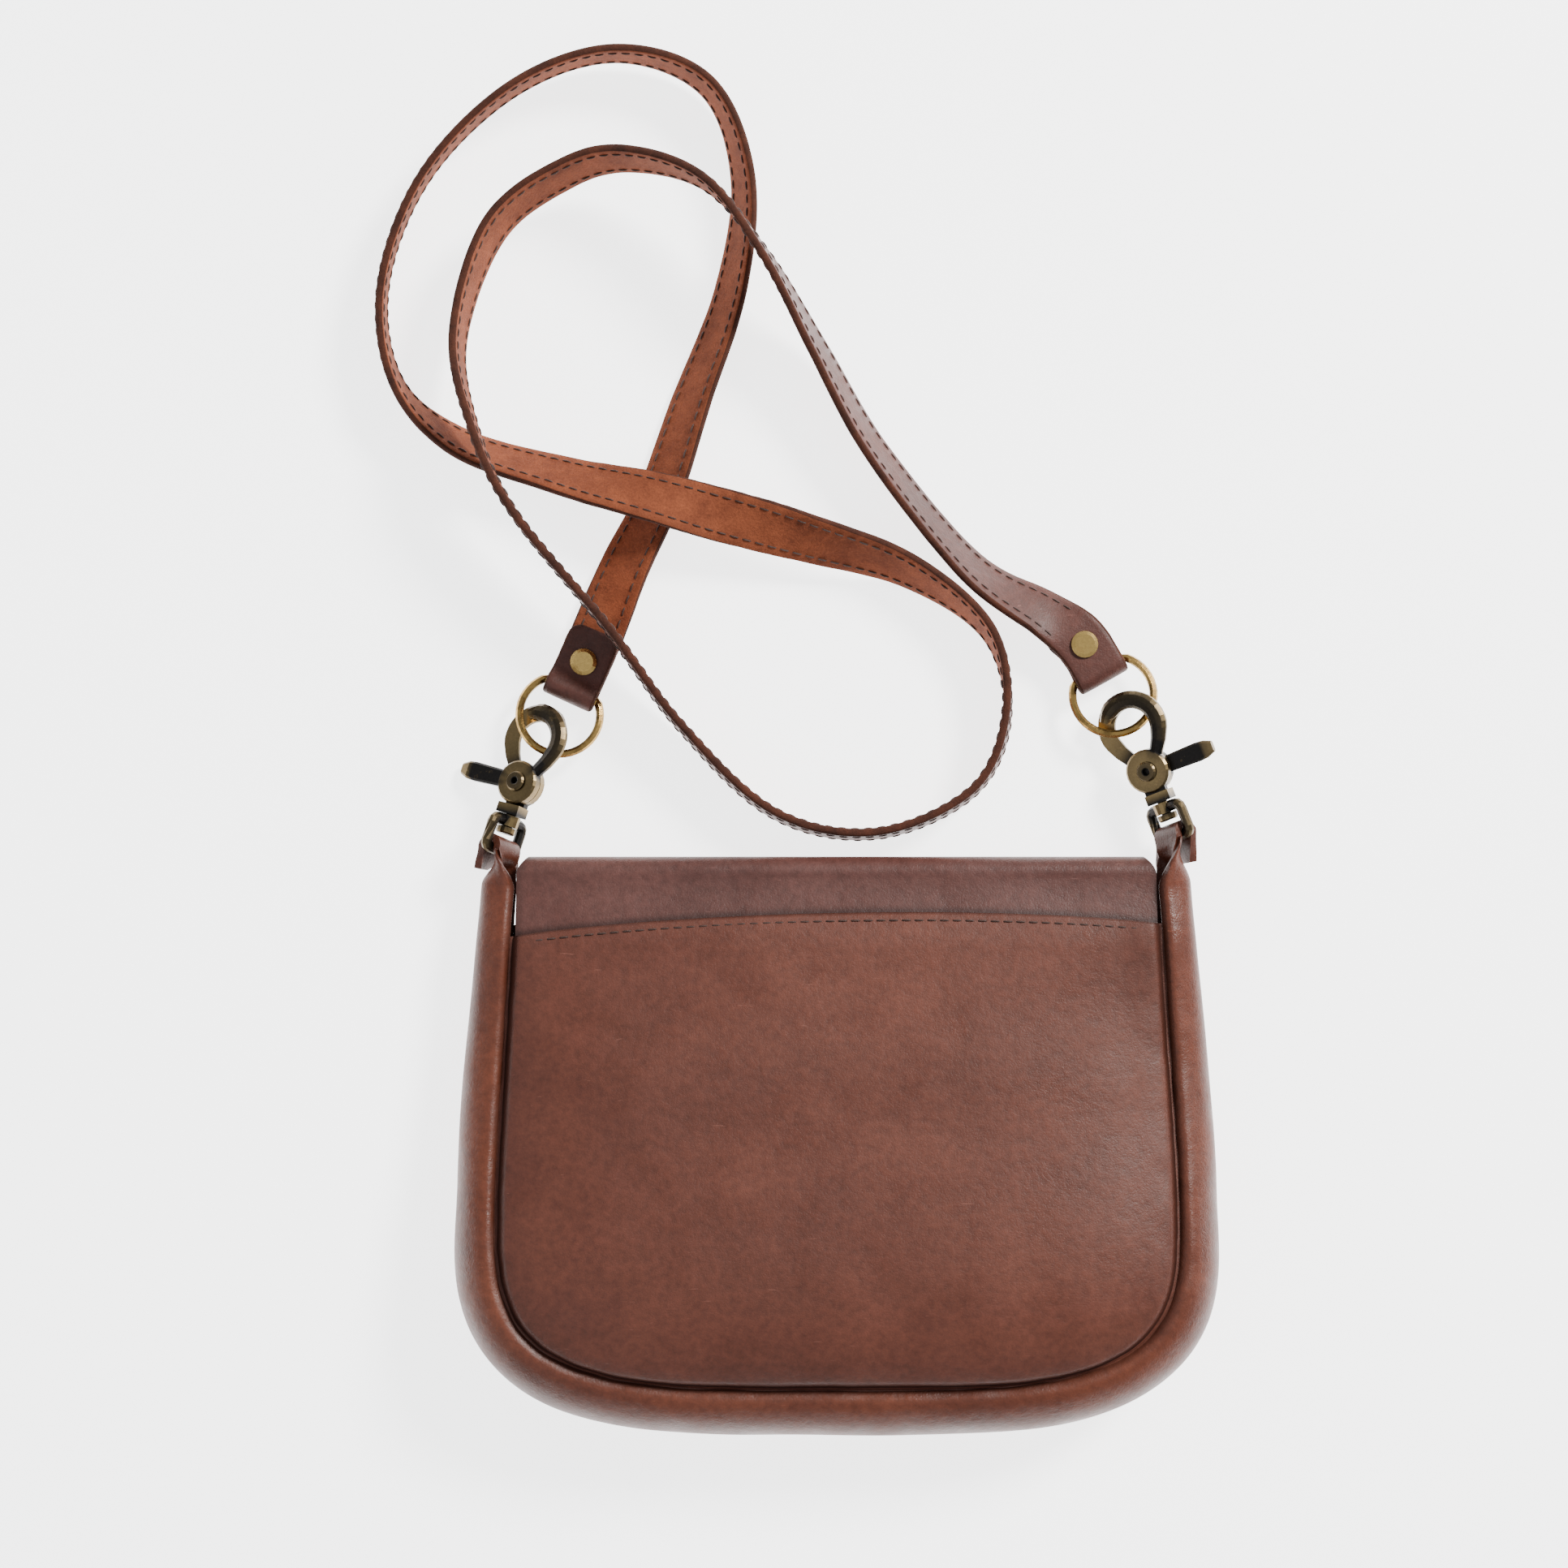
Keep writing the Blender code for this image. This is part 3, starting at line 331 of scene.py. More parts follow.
GRAIN_POINTS = 6  # faces of the section on the strap's grain side, and where those of its flesh side are
FLESH_POINTS = (10, 17)
ROW_OFFSET = 5.2 * MM  # of each row of stitches from the strap's middle
ROW_HEIGHT = STRAP_THICK / 2 + 0.03 * MM
ROW_STARTS = 12  # stations left bare at each end of the strap
RIVETS = ("left_rivet_cap", "left_rivet_post", "right_rivet_cap", "right_rivet_post")


# Materials


def nodes_of(name):
    made = bpy.data.materials.new(name)
    made.use_nodes = True
    tree = made.node_tree
    return made, tree, tree.nodes["Principled BSDF"]


def link(tree, start, end):
    tree.links.new(start, end)


def add_noise(tree, coords, scale, detail=4.0, rough=0.55, stretch=None):
    node = tree.nodes.new("ShaderNodeTexNoise")
    node.inputs["Scale"].default_value = scale
    node.inputs["Detail"].default_value = detail
    node.inputs["Roughness"].default_value = rough
    if stretch:
        mapping = tree.nodes.new("ShaderNodeMapping")
        mapping.inputs["Rotation"].default_value = stretch[0]
        mapping.inputs["Scale"].default_value = stretch[1]
        link(tree, coords, mapping.inputs["Vector"])
        coords = mapping.outputs["Vector"]
    link(tree, coords, node.inputs["Vector"])
    return node.outputs["Fac"]


def ramp(tree, value, stops):
    node = tree.nodes.new("ShaderNodeValToRGB")
    elements = node.color_ramp.elements
    while len(elements) < len(stops):
        elements.new(0.5)
    for element, (position, colour) in zip(elements, stops):
        element.position = position
        element.color = (*colour, 1.0) if len(colour) == 3 else colour
    link(tree, value, node.inputs["Fac"])
    return node.outputs["Color"]


def grey(value):
    return (value, value, value)


def mix(tree, factor, a, b, blend="MIX"):
    node = tree.nodes.new("ShaderNodeMix")
    node.data_type = "RGBA"
    node.blend_type = blend
    if isinstance(factor, float):
        node.inputs["Factor"].default_value = factor
    else:
        link(tree, factor, node.inputs["Factor"])
    for socket, value in ((node.inputs[6], a), (node.inputs[7], b)):
        if isinstance(value, tuple):
            socket.default_value = (*value, 1.0)
        else:
            link(tree, value, socket)
    return node.outputs[2]


def maths(tree, operation, a, b):
    node = tree.nodes.new("ShaderNodeMath")
    node.operation = operation
    for socket, value in ((node.inputs[0], a), (node.inputs[1], b)):
        if isinstance(value, float):
            socket.default_value = value
        else:
            link(tree, value, socket)
    return node.outputs[0]


def bump(tree, height, strength, distance, before=None):
    node = tree.nodes.new("ShaderNodeBump")
    node.inputs["Strength"].default_value = strength
    node.inputs["Distance"].default_value = distance
    link(tree, height, node.inputs["Height"])
    if before is not None:
        link(tree, before, node.inputs["Normal"])
    return node.outputs["Normal"]


def leather(name, light, mid, dark, roughness=0.5, grain=1.0, seed=0.0, scratches=0.5, use_painted_shade=True):
    """Oiled pull-up leather: slow mottling, pale rubbed patches, fine pores and creases, a few scratches,
    and, where asked, painted shade read from a per-point attribute.
    """
    made, tree, shader = nodes_of(name)
    coords = tree.nodes.new("ShaderNodeTexCoord").outputs["Object"]
    if seed:
        shift = tree.nodes.new("ShaderNodeMapping")
        shift.inputs["Location"].default_value = (seed, seed * 0.7, 0)
        link(tree, coords, shift.inputs["Vector"])
        coords = shift.outputs["Vector"]
    slow = add_noise(tree, coords, 17, 5, 0.6)
    cloudy = add_noise(tree, coords, 75, 6, 0.62)
    fine = add_noise(tree, coords, 420, 5, 0.7)
    colour = ramp(tree, slow, [(0.12, dark), (0.5, mid), (0.92, light)])
    lighter = mix(tree, 1.0, colour, grey(1.06), "MULTIPLY")
    darker = mix(tree, 1.0, colour, grey(0.94), "MULTIPLY")
    colour = mix(tree, ramp(tree, cloudy, [(0.38, grey(0.0)), (0.64, grey(1.0))]), darker, lighter)
    speckle = ramp(tree, fine, [(0.33, grey(0.6)), (0.64, grey(1.02))])
    colour = mix(tree, 0.75, colour, speckle, "MULTIPLY")
    rotate = (0.2, 0.1, 0.9)
    hair = add_noise(tree, coords, 34, 2, 0.5, (rotate, (3.5, 30, 30)))
    hair_two = add_noise(tree, coords, 30, 2, 0.5, ((0.1, 0.3, 2.6), (4.5, 34, 34)))
    first = ramp(tree, hair, [(0.74, grey(0.0)), (0.79, grey(1.0))])
    second = ramp(tree, hair_two, [(0.75, grey(0.0)), (0.8, grey(1.0))])
    lines = maths(tree, "MAXIMUM", first, second)
    lines = maths(tree, "MULTIPLY", lines, scratches)
    colour = mix(tree, lines, colour, tuple(min(1.0, c * 1.7 + 0.03) for c in light))
    # Painted shade: the colour is pulled towards a very dark brown by each point's painted shade amount, for
    # seam valleys and laps.
    if use_painted_shade:
        layer = tree.nodes.new("ShaderNodeAttribute")
        layer.attribute_name = "painted_shade"
        colour = mix(tree, layer.outputs["Fac"], colour, tuple(c * 0.38 for c in dark))
    link(tree, colour, shader.inputs["Base Color"])
    matte = ramp(tree, cloudy, [(0.3, grey(roughness - 0.09)), (0.7, grey(roughness + 0.1))])
    link(tree, matte, shader.inputs["Roughness"])
    pores = tree.nodes.new("ShaderNodeTexVoronoi")
    pores.feature = "DISTANCE_TO_EDGE"
    pores.inputs["Scale"].default_value = 1050
    link(tree, coords, pores.inputs["Vector"])
    pebble = ramp(tree, pores.outputs["Distance"], [(0.0, grey(0.0)), (0.22, grey(1.0))])
    height = bump(tree, pebble, 0.16 * grain, 0.00012)
    height = bump(tree, fine, 0.35 * grain, 0.0004, height)
    height = bump(tree, cloudy, 0.25 * grain, 0.0012, height)
    height = bump(tree, lines, 0.3, 0.0002, height)
    link(tree, height, shader.inputs["Normal"])
    shader.inputs["Specular IOR Level"].default_value = 0.3
    return made


def suede(name, light, dark):
    """The flesh side of the leather: matte, mottled and fibrous."""
    made, tree, shader = nodes_of(name)
    coords = tree.nodes.new("ShaderNodeTexCoord").outputs["Object"]
    clouds = add_noise(tree, coords, 130, 6, 0.65)
    fibres = add_noise(tree, coords, 1500, 4, 0.7)
    colour = ramp(tree, clouds, [(0.3, dark), (0.7, light)])
    speckle = ramp(tree, fibres, [(0.3, grey(0.68)), (0.7, grey(1.22))])
    link(tree, mix(tree, 0.8, colour, speckle, "MULTIPLY"), shader.inputs["Base Color"])
    height = bump(tree, fibres, 0.7, 0.0003)
    height = bump(tree, clouds, 0.4, 0.0006, height)
    link(tree, height, shader.inputs["Normal"])
    shader.inputs["Roughness"].default_value = 0.88
    shader.inputs["Specular IOR Level"].default_value = 0.2
    return made


def metal(name, bright, dull, amount, roughness=(0.22, 0.5), tarnish=180):
    """Cast or drawn metal: darkened in patches and hollows, rubbed bright on its edges."""
    made, tree, shader = nodes_of(name)
    coords = tree.nodes.new("ShaderNodeTexCoord").outputs["Object"]
    patches = add_noise(tree, coords, tarnish, 6, 0.65)
    specks = add_noise(tree, coords, 1300, 4, 0.7)
    geometry = tree.nodes.new("ShaderNodeNewGeometry")
    worn = ramp(tree, geometry.outputs["Pointiness"], [(0.535, grey(0.0)), (0.62, grey(1.0))])
    cover = ramp(tree, patches, [(amount - 0.12, grey(1.0)), (amount + 0.12, grey(0.0))])
    cover = maths(tree, "SUBTRACT", cover, worn)
    cover = ramp(tree, cover, [(0.0, grey(0.0)), (0.9, grey(1.0))])
    colour = mix(tree, cover, bright, dull)
    speckle = ramp(tree, specks, [(0.3, grey(0.7)), (0.7, grey(1.15))])
    colour = mix(tree, 0.5, colour, speckle, "MULTIPLY")
    link(tree, colour, shader.inputs["Base Color"])
    finish = mix(tree, cover, grey(roughness[0]), grey(roughness[1]))
    link(tree, finish, shader.inputs["Roughness"])
    height = bump(tree, specks, 0.12, 0.0001)
    height = bump(tree, patches, 0.1, 0.0004, height)
    link(tree, height, shader.inputs["Normal"])
    shader.inputs["Metallic"].default_value = 1.0
    return made


def thread(name, colour):
    made, tree, shader = nodes_of(name)
    coords = tree.nodes.new("ShaderNodeTexCoord").outputs["Object"]
    twist = add_noise(tree, coords, 2600, 3, 0.6)
    twisted = ramp(tree, twist, [(0.3, grey(0.6)), (0.7, grey(1.3))])
    link(tree, mix(tree, 0.7, colour, twisted, "MULTIPLY"), shader.inputs["Base Color"])
    link(tree, bump(tree, twist, 0.5, 0.0002), shader.inputs["Normal"])
    shader.inputs["Roughness"].default_value = 0.7
    return made


# Each leather's light, middle and dark colour
PANEL = ((0.15, 0.046, 0.028), (0.105, 0.03, 0.0175), (0.066, 0.0195, 0.012))
# The yoke and flap leather: the panel's brown with a bluish-grey tint, a painted reflection of cool window
# light on the sloping top band.
BAND_PAINTED_SHEEN = ((0.13, 0.05, 0.04), (0.09, 0.034, 0.027), (0.058, 0.022, 0.018))
GUSSET = ((0.2, 0.056, 0.026), (0.118, 0.032, 0.0165), (0.062, 0.018, 0.011))
STRAP = ((0.15, 0.052, 0.038), (0.095, 0.031, 0.022), (0.055, 0.018, 0.013))
panel_leather = leather("panel_leather", *PANEL, 0.5, 1.0, 0.0, 0.25)
# Yoke and flap leather whose colours carry a painted bluish sheen.
band_painted_sheen_leather = leather("band_painted_sheen_leather", *BAND_PAINTED_SHEEN, 0.46, 1.0, 0.31, 0.2)
gusset_leather = leather("gusset_leather", *GUSSET, 0.4, 1.1, 0.63, 0.25)
strap_grain = leather("strap_grain", *STRAP, 0.52, 1.2, 0.87, 0.35, False)
strap_flesh = suede("strap_flesh", (0.25, 0.068, 0.028), (0.13, 0.034, 0.015))
cut_edge = suede("cut_edge", (0.085, 0.026, 0.014), (0.03, 0.011, 0.007))
seam_thread = thread("seam_thread", (0.042, 0.017, 0.011))
antique_brass = metal("antique_brass", (0.2, 0.14, 0.065), (0.02, 0.018, 0.017), 0.7, (0.3, 0.4))
ring_brass = metal("ring_brass", (0.5, 0.31, 0.1), (0.13, 0.08, 0.03), 0.52, (0.18, 0.34))
rivet_brass = metal("rivet_brass", (0.7, 0.46, 0.15), (0.34, 0.2, 0.065), 0.42, (0.24, 0.4))
spring_steel = metal("spring_steel", (0.6, 0.6, 0.6), (0.3, 0.3, 0.3), 0.4, (0.25, 0.4))


# The body's outline and surfaces, as in the CAD model

BODY_WIDTH = 198.8 * MM
SIDE_TAPER = 4.4 * MM
WIDEST_Y = -10.0 * MM
BOTTOM_DEPTH = 58.8 * MM
CORNER_POWER = 3.8
CORNER_BEND = 60 * MM  # how much more finely the corners are divided than the sides
MOUTH_Y = 79.4 * MM
BACK_SEAM_Z = 38.0 * MM
MOUTH_SEAM_Z = 22.0 * MM
PILLOW = 8.0 * MM
SIDE_BULGE = 11.5 * MM
BOTTOM_BULGE = 15.0 * MM
GUSSET_TOP_Y = 75.0 * MM
TIP_STATIONS = 6
TAB_WIDTHS = (1.0, 0.95, 0.85, 0.6)
TAB_GAP = 2 * GAP
TAB_CLOSES = 12.0 * MM
FOLD_RADIUS = 5.0 * MM
FOLD_Z = 11.0 * MM
FOLD_DRAW = 3.2 * MM  # how far the fold's ends draw in
YOKE_DROP = LEATHER + 2 * GAP
YOKE_LAP = 7.0 * MM
ARCH_Y = 63.0 * MM
FLAP_HALF_WIDTH = BODY_WIDTH / 2 - 8.4 * MM
FLAP_END_Y = -45.0 * MM
FLAP_CORNER_Y = -5.0 * MM
FRONT_TOP_Y = 64.0 * MM
EYE_WIRE = 1.6 * MM
EYE_SPAN = 14.0 * MM
BAR_TILT = 35.0
SIDES = {
    "left": {"out": -1, "bar": (-100.1, 86.2, 12.9), "lean": 17.5, "slope": 7.4},
    "right": {"out": 1, "bar": (100.9, 90.4, 12.5), "lean": -21.0, "slope": 3.7},
}


def half_width(y):
    t = max(0.0, (y - WIDEST_Y) / (MOUTH_Y - WIDEST_Y))
    return BODY_WIDTH / 2 - SIDE_TAPER * t**1.3


def level(x, y):
    if y >= WIDEST_Y:
        return abs(x) / half_width(y)
    across = (abs(x) / (BODY_WIDTH / 2)) ** CORNER_POWER
    down = ((WIDEST_Y - y) / BOTTOM_DEPTH) ** CORNER_POWER
    return (across + down) ** (1 / CORNER_POWER)


def from_seam(x, y):
    """About how far a point of a panel is from the seam."""
    ratio = max(level(x, y), 0.05)
    if y >= WIDEST_Y:
        return max(0.0, half_width(y) - abs(x))
    return max(0.0, (1 - ratio) / ratio * max(math.hypot(x, y - WIDEST_Y), 3 * MM))


def seam_path(left_y, right_y, inset, count, bend):
    fine = []
    for i in range(60):
        y = left_y + (WIDEST_Y - left_y) * i / 60
        fine.append((-half_width(y) + inset, y, 0.0))
    for i in range(361):
        angle = math.pi * i / 360
        c, s = math.cos(angle), math.sin(angle)
        x = -math.copysign(abs(c) ** (2 / CORNER_POWER), c) * (BODY_WIDTH / 2 - inset)
        fine.append((x, WIDEST_Y - abs(s) ** (2 / CORNER_POWER) * (BOTTOM_DEPTH - inset), 0.0))
    for i in range(1, 61):
        y = WIDEST_Y + (right_y - WIDEST_Y) * i / 60
        fine.append((half_width(y) - inset, y, 0.0))
    return [Vector(p) for p in resample(fine, count, bend)]


def back_seam(y):
    deep = BACK_SEAM_Z - (BACK_SEAM_Z - MOUTH_SEAM_Z) * smooth(-60 * MM, 45 * MM, y)
    fold_top = FOLD_Z + FOLD_RADIUS + YOKE_DROP
    return deep - (MOUTH_SEAM_Z - fold_top) * smooth(58 * MM, MOUTH_Y, y)


def flap_under(y):
    return (FOLD_Z - FOLD_RADIUS) * smooth(45 * MM, MOUTH_Y, y)


def front_seam(y):
    return 4.0 * MM + 3.6 * MM * smooth(30 * MM, FRONT_TOP_Y, y)


def back_height(x, y):
    swell = PILLOW * (1 - smooth(15 * MM, MOUTH_Y, y))
    return back_seam(y) + swell * (1 - level(x, y) ** 5)


def front_height(x, y):
    return front_seam(y) + 2.0 * MM * (1 - level(x, y) ** 4) * (1 - smooth(30 * MM, FRONT_TOP_Y, y))


def arch(x):
    t = min(1.0, abs(x) / (95.2 * MM))
    return ARCH_Y + 5.0 * MM * (1 - t * t) ** 0.8 + 0.02 * x


def bulge(point):
    low = smooth(WIDEST_Y, WIDEST_Y - BOTTOM_DEPTH, point.y) if point.y < WIDEST_Y else 0.0
    high = smooth(0, GUSSET_TOP_Y, point.y)
    return SIDE_BULGE + (BOTTOM_BULGE - SIDE_BULGE) * low - 2.5 * MM * high


# Leather pieces


def panel(name, node, top, height, way, columns, rows, made):
    """A panel whose edge turns down into the seam. way is -1 where the inner face is below."""
    edge_x = half_width(ARCH_Y) - GAP
    bottom = seam_path(top(-edge_x), top(edge_x), 0.05 * MM, columns, CORNER_BEND)
    outer, inner, painted_shade_out, painted_shade_in = [], [], [], []
    for i, low in enumerate(bottom):
        x = bottom[0].x + (bottom[-1].x - bottom[0].x) * i / columns
        high = Vector((x, top(x), 0))
        outer.append([])
        inner.append([])
        for j in range(rows + 1):
            t = j / rows
            point = high.lerp(low, t - 0.13 * math.sin(2 * math.pi * t))
            x_now, y_now = point.x, point.y
            away = from_seam(x_now, y_now)
            lumps = 0.35 * MM * ripple((x_now, y_now, 0), 42 * MM, 1)
            pucker = 0.28 * MM * ripple((x_now, y_now, 0), 7 * MM, 5) * smooth(12 * MM, 3 * MM, away)
            turn = -2.6 * MM * (1 - smooth(0, 1, away / (3.4 * MM))) ** 1.3
            roll = 0.5 * MM * smooth(0, 4 * MM, away) * smooth(14 * MM, 4 * MM, away)
            edge = (high - point).length
            edge_round = -0.35 * MM * (1 - smooth(0, 0.8 * MM, edge))
            z = height(x_now, y_now) - way * (lumps + pucker + turn + roll + edge_round)
            outer[-1].append(Vector((x_now, y_now, z)))
            inner[-1].append(Vector((x_now, y_now, height(x_now, y_now) + way * LEATHER)))
            # Painted shade: dark in the seam's valley and on the slope down to it, darker along the top
            # edge, and a little dark on the inner face.
            dark = 0.85 * (1 - smooth(0.3 * MM, 3.2 * MM, away))
            dark += 0.22 * (1 - smooth(2 * MM, 16 * MM, away))
            dark += 0.6 * (1 - smooth(0, 0.9 * MM, edge))
            painted_shade_out.append(min(0.95, dark))
            painted_shade_in.append(0.3)
    verts, faces = sheet(outer, inner)
    piece = new_piece(name, verts, faces, [made], "shell", 60, painted_shade_out + painted_shade_in)
    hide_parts(node)


def bar_frame(side):
    lean, slope = math.radians(side["lean"]), math.radians(side["slope"])
    along = Vector((math.sin(lean) * math.cos(slope), math.cos(lean) * math.cos(slope), -math.sin(slope)))
    tilt = math.radians(BAR_TILT)
    bar = Vector((side["out"] * math.sin(tilt), 0, math.cos(tilt)))
    bar = (bar - along * bar.dot(along)).normalized()
    out = bar.cross(along)
    if out.x * side["out"] < 0:
        bar, out = -bar, -out
    return Matrix.Translation(Vector(side["bar"]) * MM) @ Matrix((bar, along, out)).transposed().to_4x4()


def gusset_wrap(side):
    """Stations of the strip's turn over the eye's bar, from the body's side to the outside."""
    frame_now = bar_frame(side)
    centre = frame_now.translation
    bar, along, out = (frame_now.col[i].to_3d() for i in range(3))
    if bar.z < 0:
        bar = -bar
    half = (EYE_SPAN - 2 * EYE_WIRE) / 2 - GAP
    turn = EYE_WIRE + GAP + LEATHER / 2
    stations = []
    for i in range(9):
        angle = math.pi * i / 8
        radial = -out * math.cos(angle) + along * math.sin(angle)
        stations.append((centre + radial * turn, bar, -radial, half, 0.0))
    return stations


def gusset_tip(side, body_end):
    """(the strip from the eye down to the body, its turn over the eye's bar with the tab outside)."""
    wrap = gusset_wrap(side)
    strip = between(wrap[0], body_end)
    tab = []
    across = (wrap[-1][0] - wrap[0][0]).length
    for (middle, chord, out, half, swell), share in zip(strip, TAB_WIDTHS):
        closed = smooth(0, TAB_CLOSES, (middle - wrap[0][0]).length)
        lie = middle + out * (swell + across + (LEATHER + TAB_GAP - across) * closed)
        tab.append((lie, chord, -out, wrap[-1][3] * share, 0.0))
    return strip, wrap + tab


def between(start, end):
    """Stations that carry the strip's middle, chord and bulge from the eye's bar down to the body."""
    found = []
    a, d = start[0], end[0]
    down = Vector((0, -(a - d).length * 0.35, 0))
    for i in range(1, TIP_STATIONS + 1):
        t = i / (TIP_STATIONS + 1)
        s = t * t * (3 - 2 * t)
        middle = a * (1 - t) ** 3 + (a + down) * 3 * t * (1 - t) ** 2
        middle += (d - down) * 3 * t * t * (1 - t) + d * t**3
        chord = start[1].lerp(end[1], s).normalized()
        out = start[2].lerp(end[2], s)
        out = (out - chord * out.dot(chord)).normalized()
        half = start[3] + (end[3] - start[3]) * s
        found.append((middle, chord, out, half, start[4] + (end[4] - start[4]) * s))
    return found


def gusset_stations():
    path = seam_path(GUSSET_TOP_Y, GUSSET_TOP_Y, 0.0, 120, CORNER_BEND)
    body = []
    for i, point in enumerate(path):
        along = path[min(i + 1, len(path) - 1)] - path[max(i - 1, 0)]
        out = Vector((along.y, -along.x, 0)).normalized()
        low = front_seam(point.y) + LEATHER / 2
        high = back_seam(point.y) - LEATHER / 2
        middle = Vector((point.x, point.y, (low + high) / 2))
        body.append((middle, Vector((0, 0, 1)), out, (high - low) / 2, bulge(point)))
    left_strip, left_tip = gusset_tip(SIDES["left"], body[0])
    right_strip, right_tip = gusset_tip(SIDES["right"], body[-1])
    return left_tip[::-1] + left_strip + body + right_strip[::-1] + right_tip


def build_gusset(made):
    rough = [(*m, *c, *o, h, b) for m, c, o, h, b in gusset_stations()]
    rows = catmull_rom(rough, 4)
    steps = 26
    rings, painted_shade = [], []
    for row in rows:
        middle, chord, out = Vector(row[:3]), Vector(row[3:6]).normalized(), Vector(row[6:9])
        out = (out - chord * out.dot(chord)).normalized()
        half, swell = row[9], max(0.0, row[10])
        soft = smooth(3 * MM, 9 * MM, swell)
        outside, inside, dark = [], [], []
        for k in range(steps + 1):
            t = k / steps - 0.5
            angle = math.pi * t
            edge = abs(t) * 2
            place = middle + chord * half * math.sin(angle) + out * swell * math.cos(angle)
            normal = chord * math.sin(angle) * swell + out * (math.cos(angle) * half + 1e-7)
            normal.normalize()
            near = smooth(0.62, 0.98, edge)
            pucker = 0.42 * MM * ripple(place, 8.5 * MM, 11) * near * soft
            lumps = 0.3 * MM * ripple(place, 26 * MM, 2) * soft * (1 - near)
            tuck = -2.4 * MM * smooth(0.9, 1.0, edge) ** 1.4 * soft
            lift = 0.35 * MM * smooth(0.6, 0.86, edge) * (1 - smooth(0.86, 1.0, edge)) * soft
            place_out = place + normal * (LEATHER / 2 + pucker + lumps + tuck + lift)
            round_edge = 0.35 * MM * smooth(0.93, 1.0, edge) * (1 - soft)
            outside.append(place_out - normal * round_edge)
            inside.append(place - normal * (LEATHER / 2 - round_edge))
            # Painted shade: dark along both edges of the strip where it sinks into the seams, and a little
            # dark on the inner face.
            dark.append(min(0.9, smooth(0.9, 1.0, edge) * (0.85 * soft + 0.5 * (1 - soft))))
        rings.append(outside + inside[::-1])
        painted_shade += dark + [0.3] * (steps + 1)
    verts, faces = swept(rings)
    piece = new_piece("gusset_leather", verts, faces, [made], "shell", 60, painted_shade)
    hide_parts("gusset")


def flap_half(y):
    if y >= FLAP_CORNER_Y:
        return FLAP_HALF_WIDTH
    t = min(0.985, (FLAP_CORNER_Y - y) / (FLAP_CORNER_Y - FLAP_END_Y))
    return FLAP_HALF_WIDTH * (1 - t**3) ** (1 / 3)


def build_flap(made):
    """The yoke and the flap as the one piece of leather they are, folded over the mouth."""
    columns, yoke_rows, turns, flap_rows = 150, 26, 16, 60
    outer, inner, painted_shade_out, painted_shade_in = [], [], [], []
    for i in range(columns + 1):
        share = 2 * i / columns - 1
        outer.append([])
        inner.append([])
        for j in range(yoke_rows):
            x = share * (half_width(MOUTH_Y) - GAP)
            y = arch(x) - YOKE_LAP + (MOUTH_Y - arch(x) + YOKE_LAP) * j / yoke_rows
            z = back_height(x, y) - YOKE_DROP + 0.25 * MM * ripple((x, y, 0), 30 * MM, 4)
            outer[-1].append(Vector((x, y, z)))
            inner[-1].append(Vector((x, y, z - LEATHER)))
            # Painted shade: dark where the yoke goes under the back panel's edge and near its ends, and a
            # little dark on the inner face.
            below = arch(x) - y
            dark = 0.75 * smooth(-2.4 * MM, 0, below) + 0.5 * smooth(0.97, 1.0, abs(share))
            painted_shade_out.append(min(0.9, dark))
            painted_shade_in.append(0.3)
        for j in range(turns + 1):
            angle = math.pi * j / turns
            draw_in = FOLD_DRAW * smooth(0, 1, min(angle, math.pi / 2) / 1.5)
            upper = half_width(MOUTH_Y) - GAP - draw_in
            x = share * (upper + (FLAP_HALF_WIDTH - upper) * smooth(1.5, math.pi, angle))
            for row, radius in ((outer[-1], FOLD_RADIUS), (inner[-1], FOLD_RADIUS - LEATHER)):
                y, z = MOUTH_Y + radius * math.sin(angle), FOLD_Z + radius * math.cos(angle)
                row.append(Vector((x, y, z)))
            # Painted shade, darker towards the fold's ends.
            painted_shade_out.append(0.5 * smooth(0.97, 1.0, abs(share)))
            painted_shade_in.append(0.3)
        for j in range(1, flap_rows + 1):
            t = j / flap_rows
            if t < 0.6:
                y = MOUTH_Y + (FLAP_CORNER_Y - MOUTH_Y) * t / 0.6
            else:
                turn = math.sin(math.pi / 2 * (t - 0.6) / 0.4)
                y = FLAP_CORNER_Y + (FLAP_END_Y - FLAP_CORNER_Y) * turn
            x = share * flap_half(y)
            z = flap_under(y) + 0.02 * MM
            outer[-1].append(Vector((x, y, z)))
            inner[-1].append(Vector((x, y, z + LEATHER)))
            # Painted shade, darker towards the flap's sides and its end.
            painted_shade_out.append(0.5 * max(smooth(0.975, 1.0, abs(share)), smooth(0.97, 1.0, t)))
            painted_shade_in.append(0.3)
    verts, faces = sheet(outer, inner)
    piece = new_piece("flap_leather", verts, faces, [made], None, 60, painted_shade_out + painted_shade_in)
    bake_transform(piece)
    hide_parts("flap_yoke", "front_flap")


# Stitches


# (share of its length, height, thickness) along a stitch, the last two in radii
STITCH = (
    (0.0, -0.9, 0.5),
    (0.1, 0.1, 0.9),
    (0.3, 0.6, 1.0),
    (0.5, 0.7, 1.0),
    (0.7, 0.6, 1.0),
    (0.9, 0.1, 0.9),
    (1.0, -0.9, 0.5),
)


def stitch_shape(start, end, normal, radius):
    """(verts, faces) of one stitch: a short thread that dips into its holes at both ends."""
    along = end - start
    side = along.normalized().cross(normal)
    rings = []
    for t, rise, thick in STITCH:
        centre = start + along * t + normal * radius * rise
        ring = []
        for k in range(8):
            angle = 2 * math.pi * k / 8
            ring.append(centre + (side * math.cos(angle) + normal * math.sin(angle)) * radius * thick)
        rings.append(ring)
    return swept(rings)


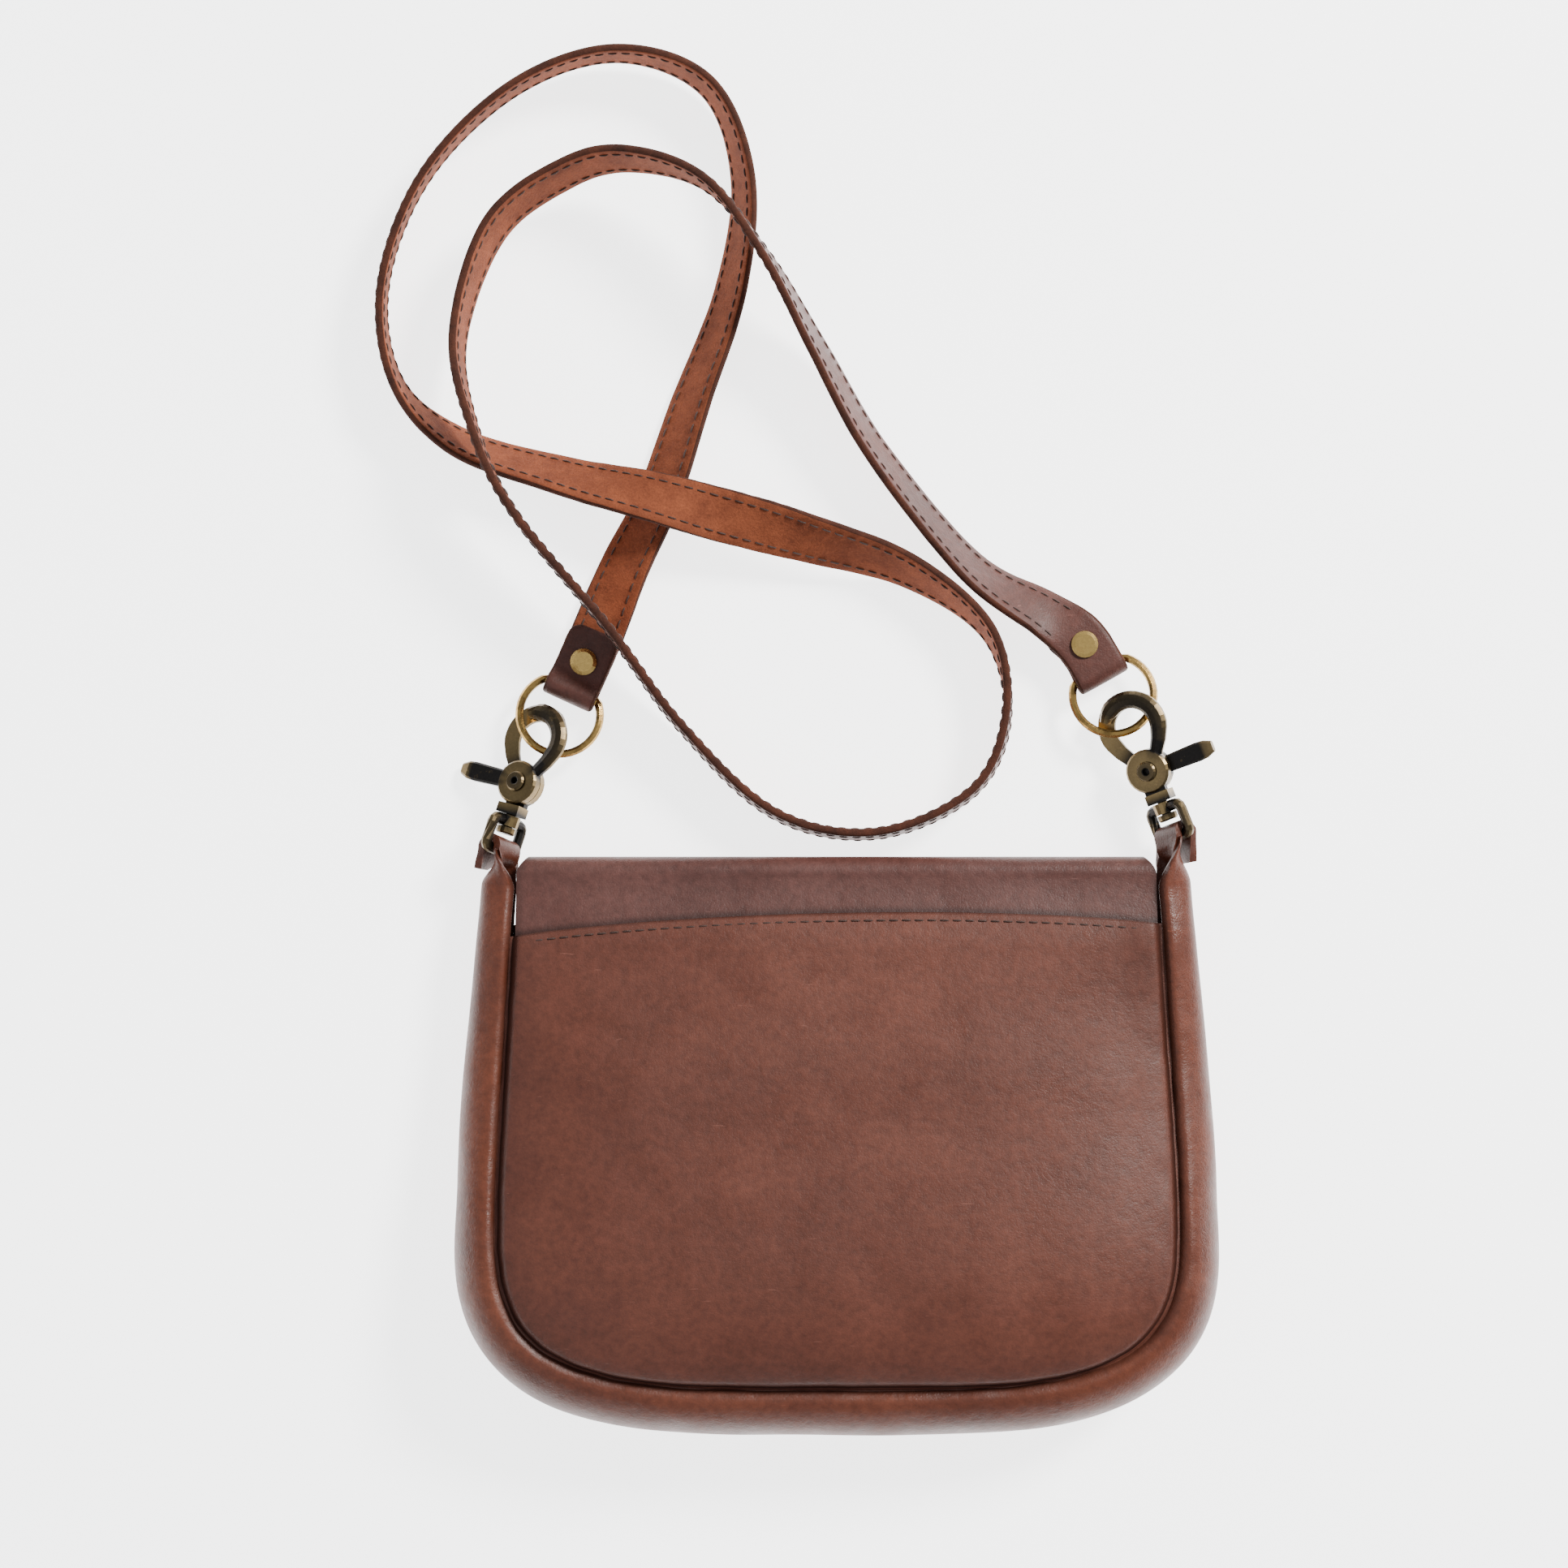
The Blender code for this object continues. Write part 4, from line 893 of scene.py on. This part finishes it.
def stitches(name, lines, pitch, radius, made, body):
    """Rows of stitches, each along a line of (place, normal)."""
    verts, faces = [], []
    for line in lines:
        total = sum((b[0] - a[0]).length for a, b in zip(line, line[1:]))
        count = max(1, round(total / pitch))
        rows = resample([(*p, *n) for p, n in line], count * 8)
        for i in range(count):
            a, b = rows[i * 8 + 1], rows[i * 8 + 7]
            normal = (Vector(a[3:]) + Vector(b[3:])).normalized()
            more, shape = stitch_shape(Vector(a[:3]), Vector(b[:3]), normal, radius)
            faces += [tuple(len(verts) + v for v in face) for face in shape]
            verts += more
    piece = new_piece(name, verts, faces, [made], body)
    return piece


def surface_line(points, height):
    """(place, normal) at points of a height field."""
    found = []
    for x, y in points:
        e = 0.5 * MM
        slope_x = (height(x + e, y) - height(x - e, y)) / (2 * e)
        slope_y = (height(x, y + e) - height(x, y - e)) / (2 * e)
        found.append((Vector((x, y, height(x, y))), Vector((-slope_x, -slope_y, 1)).normalized()))
    return found


# Build

build_strap([strap_grain, strap_flesh, cut_edge])
panel("back_leather", "back_panel", arch, back_height, -1, 260, 96, panel_leather)
panel("front_leather", "front_panel", lambda x: FRONT_TOP_Y, front_height, 1, 160, 40, panel_leather)
build_gusset(gusset_leather)
build_flap(band_painted_sheen_leather)

edge = half_width(ARCH_Y) - 3 * MM
top_line = [(-edge + 2 * edge * i / 80, arch(-edge + 2 * edge * i / 80) - 2.2 * MM) for i in range(81)]
lines = [surface_line(top_line, back_height)]
stitches("back_stitches", lines, 3.7 * MM, 0.26 * MM, seam_thread, "shell")

for node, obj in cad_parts.items():
    made = None
    if node in RIVETS:
        made = rivet_brass
    elif node.endswith("d_ring"):
        made = ring_brass
    elif node.endswith("spring"):
        made = spring_steel
    elif "hook" in node or "eye" in node or "pivot" in node or "snap" in node:
        made = antique_brass
    if made:
        for slot in obj.material_slots:
            slot.material = made


# Floor and light


FLOOR = 4.0  # metres from the middle to each edge


def build_floor():
    made, tree, shader = nodes_of("floor_white")
    coords = tree.nodes.new("ShaderNodeTexCoord").outputs["Object"]
    faint = add_noise(tree, coords, 3, 2, 0.5)
    link(tree, ramp(tree, faint, [(0.3, grey(0.93)), (0.7, grey(0.95))]), shader.inputs["Base Color"])
    shader.inputs["Roughness"].default_value = 0.9
    shader.inputs["Specular IOR Level"].default_value = 0.1
    shader.inputs["Emission Color"].default_value = (1.0, 1.0, 1.0, 1.0)
    shader.inputs["Emission Strength"].default_value = 3.2
    mesh = bpy.data.meshes.new("floor")
    corners = [(-FLOOR, -FLOOR, 0), (FLOOR, -FLOOR, 0), (FLOOR, FLOOR, 0), (-FLOOR, FLOOR, 0)]
    mesh.from_pydata(corners, [], [(0, 1, 2, 3)])
    mesh.materials.append(made)
    floor = bpy.data.objects.new("floor", mesh)
    bpy.context.scene.collection.objects.link(floor)


def area_light(name, place, target, size, power, colour):
    data = bpy.data.lights.new(name, "AREA")
    data.shape = "DISK"
    data.size = size
    data.energy = power
    data.color = colour
    lamp = bpy.data.objects.new(name, data)
    bpy.context.scene.collection.objects.link(lamp)
    lamp.location = place
    direction = Vector(target) - Vector(place)
    lamp.rotation_euler = direction.to_track_quat("-Z", "Y").to_euler()


build_floor()
area_light("key", (1.25, 1.25, 1.35), (0, 0.08, 0), 0.6, 88, (1.0, 0.985, 0.96))
area_light("fill", (-0.9, -0.5, 1.6), (0, 0.08, 0), 1.6, 5, (0.95, 0.97, 1.0))
world = bpy.data.worlds.new("studio")
bpy.context.scene.world = world
world.use_nodes = True
world.node_tree.nodes["Background"].inputs["Color"].default_value = (0.9, 0.95, 1.0, 1.0)
world.node_tree.nodes["Background"].inputs["Strength"].default_value = 0.6
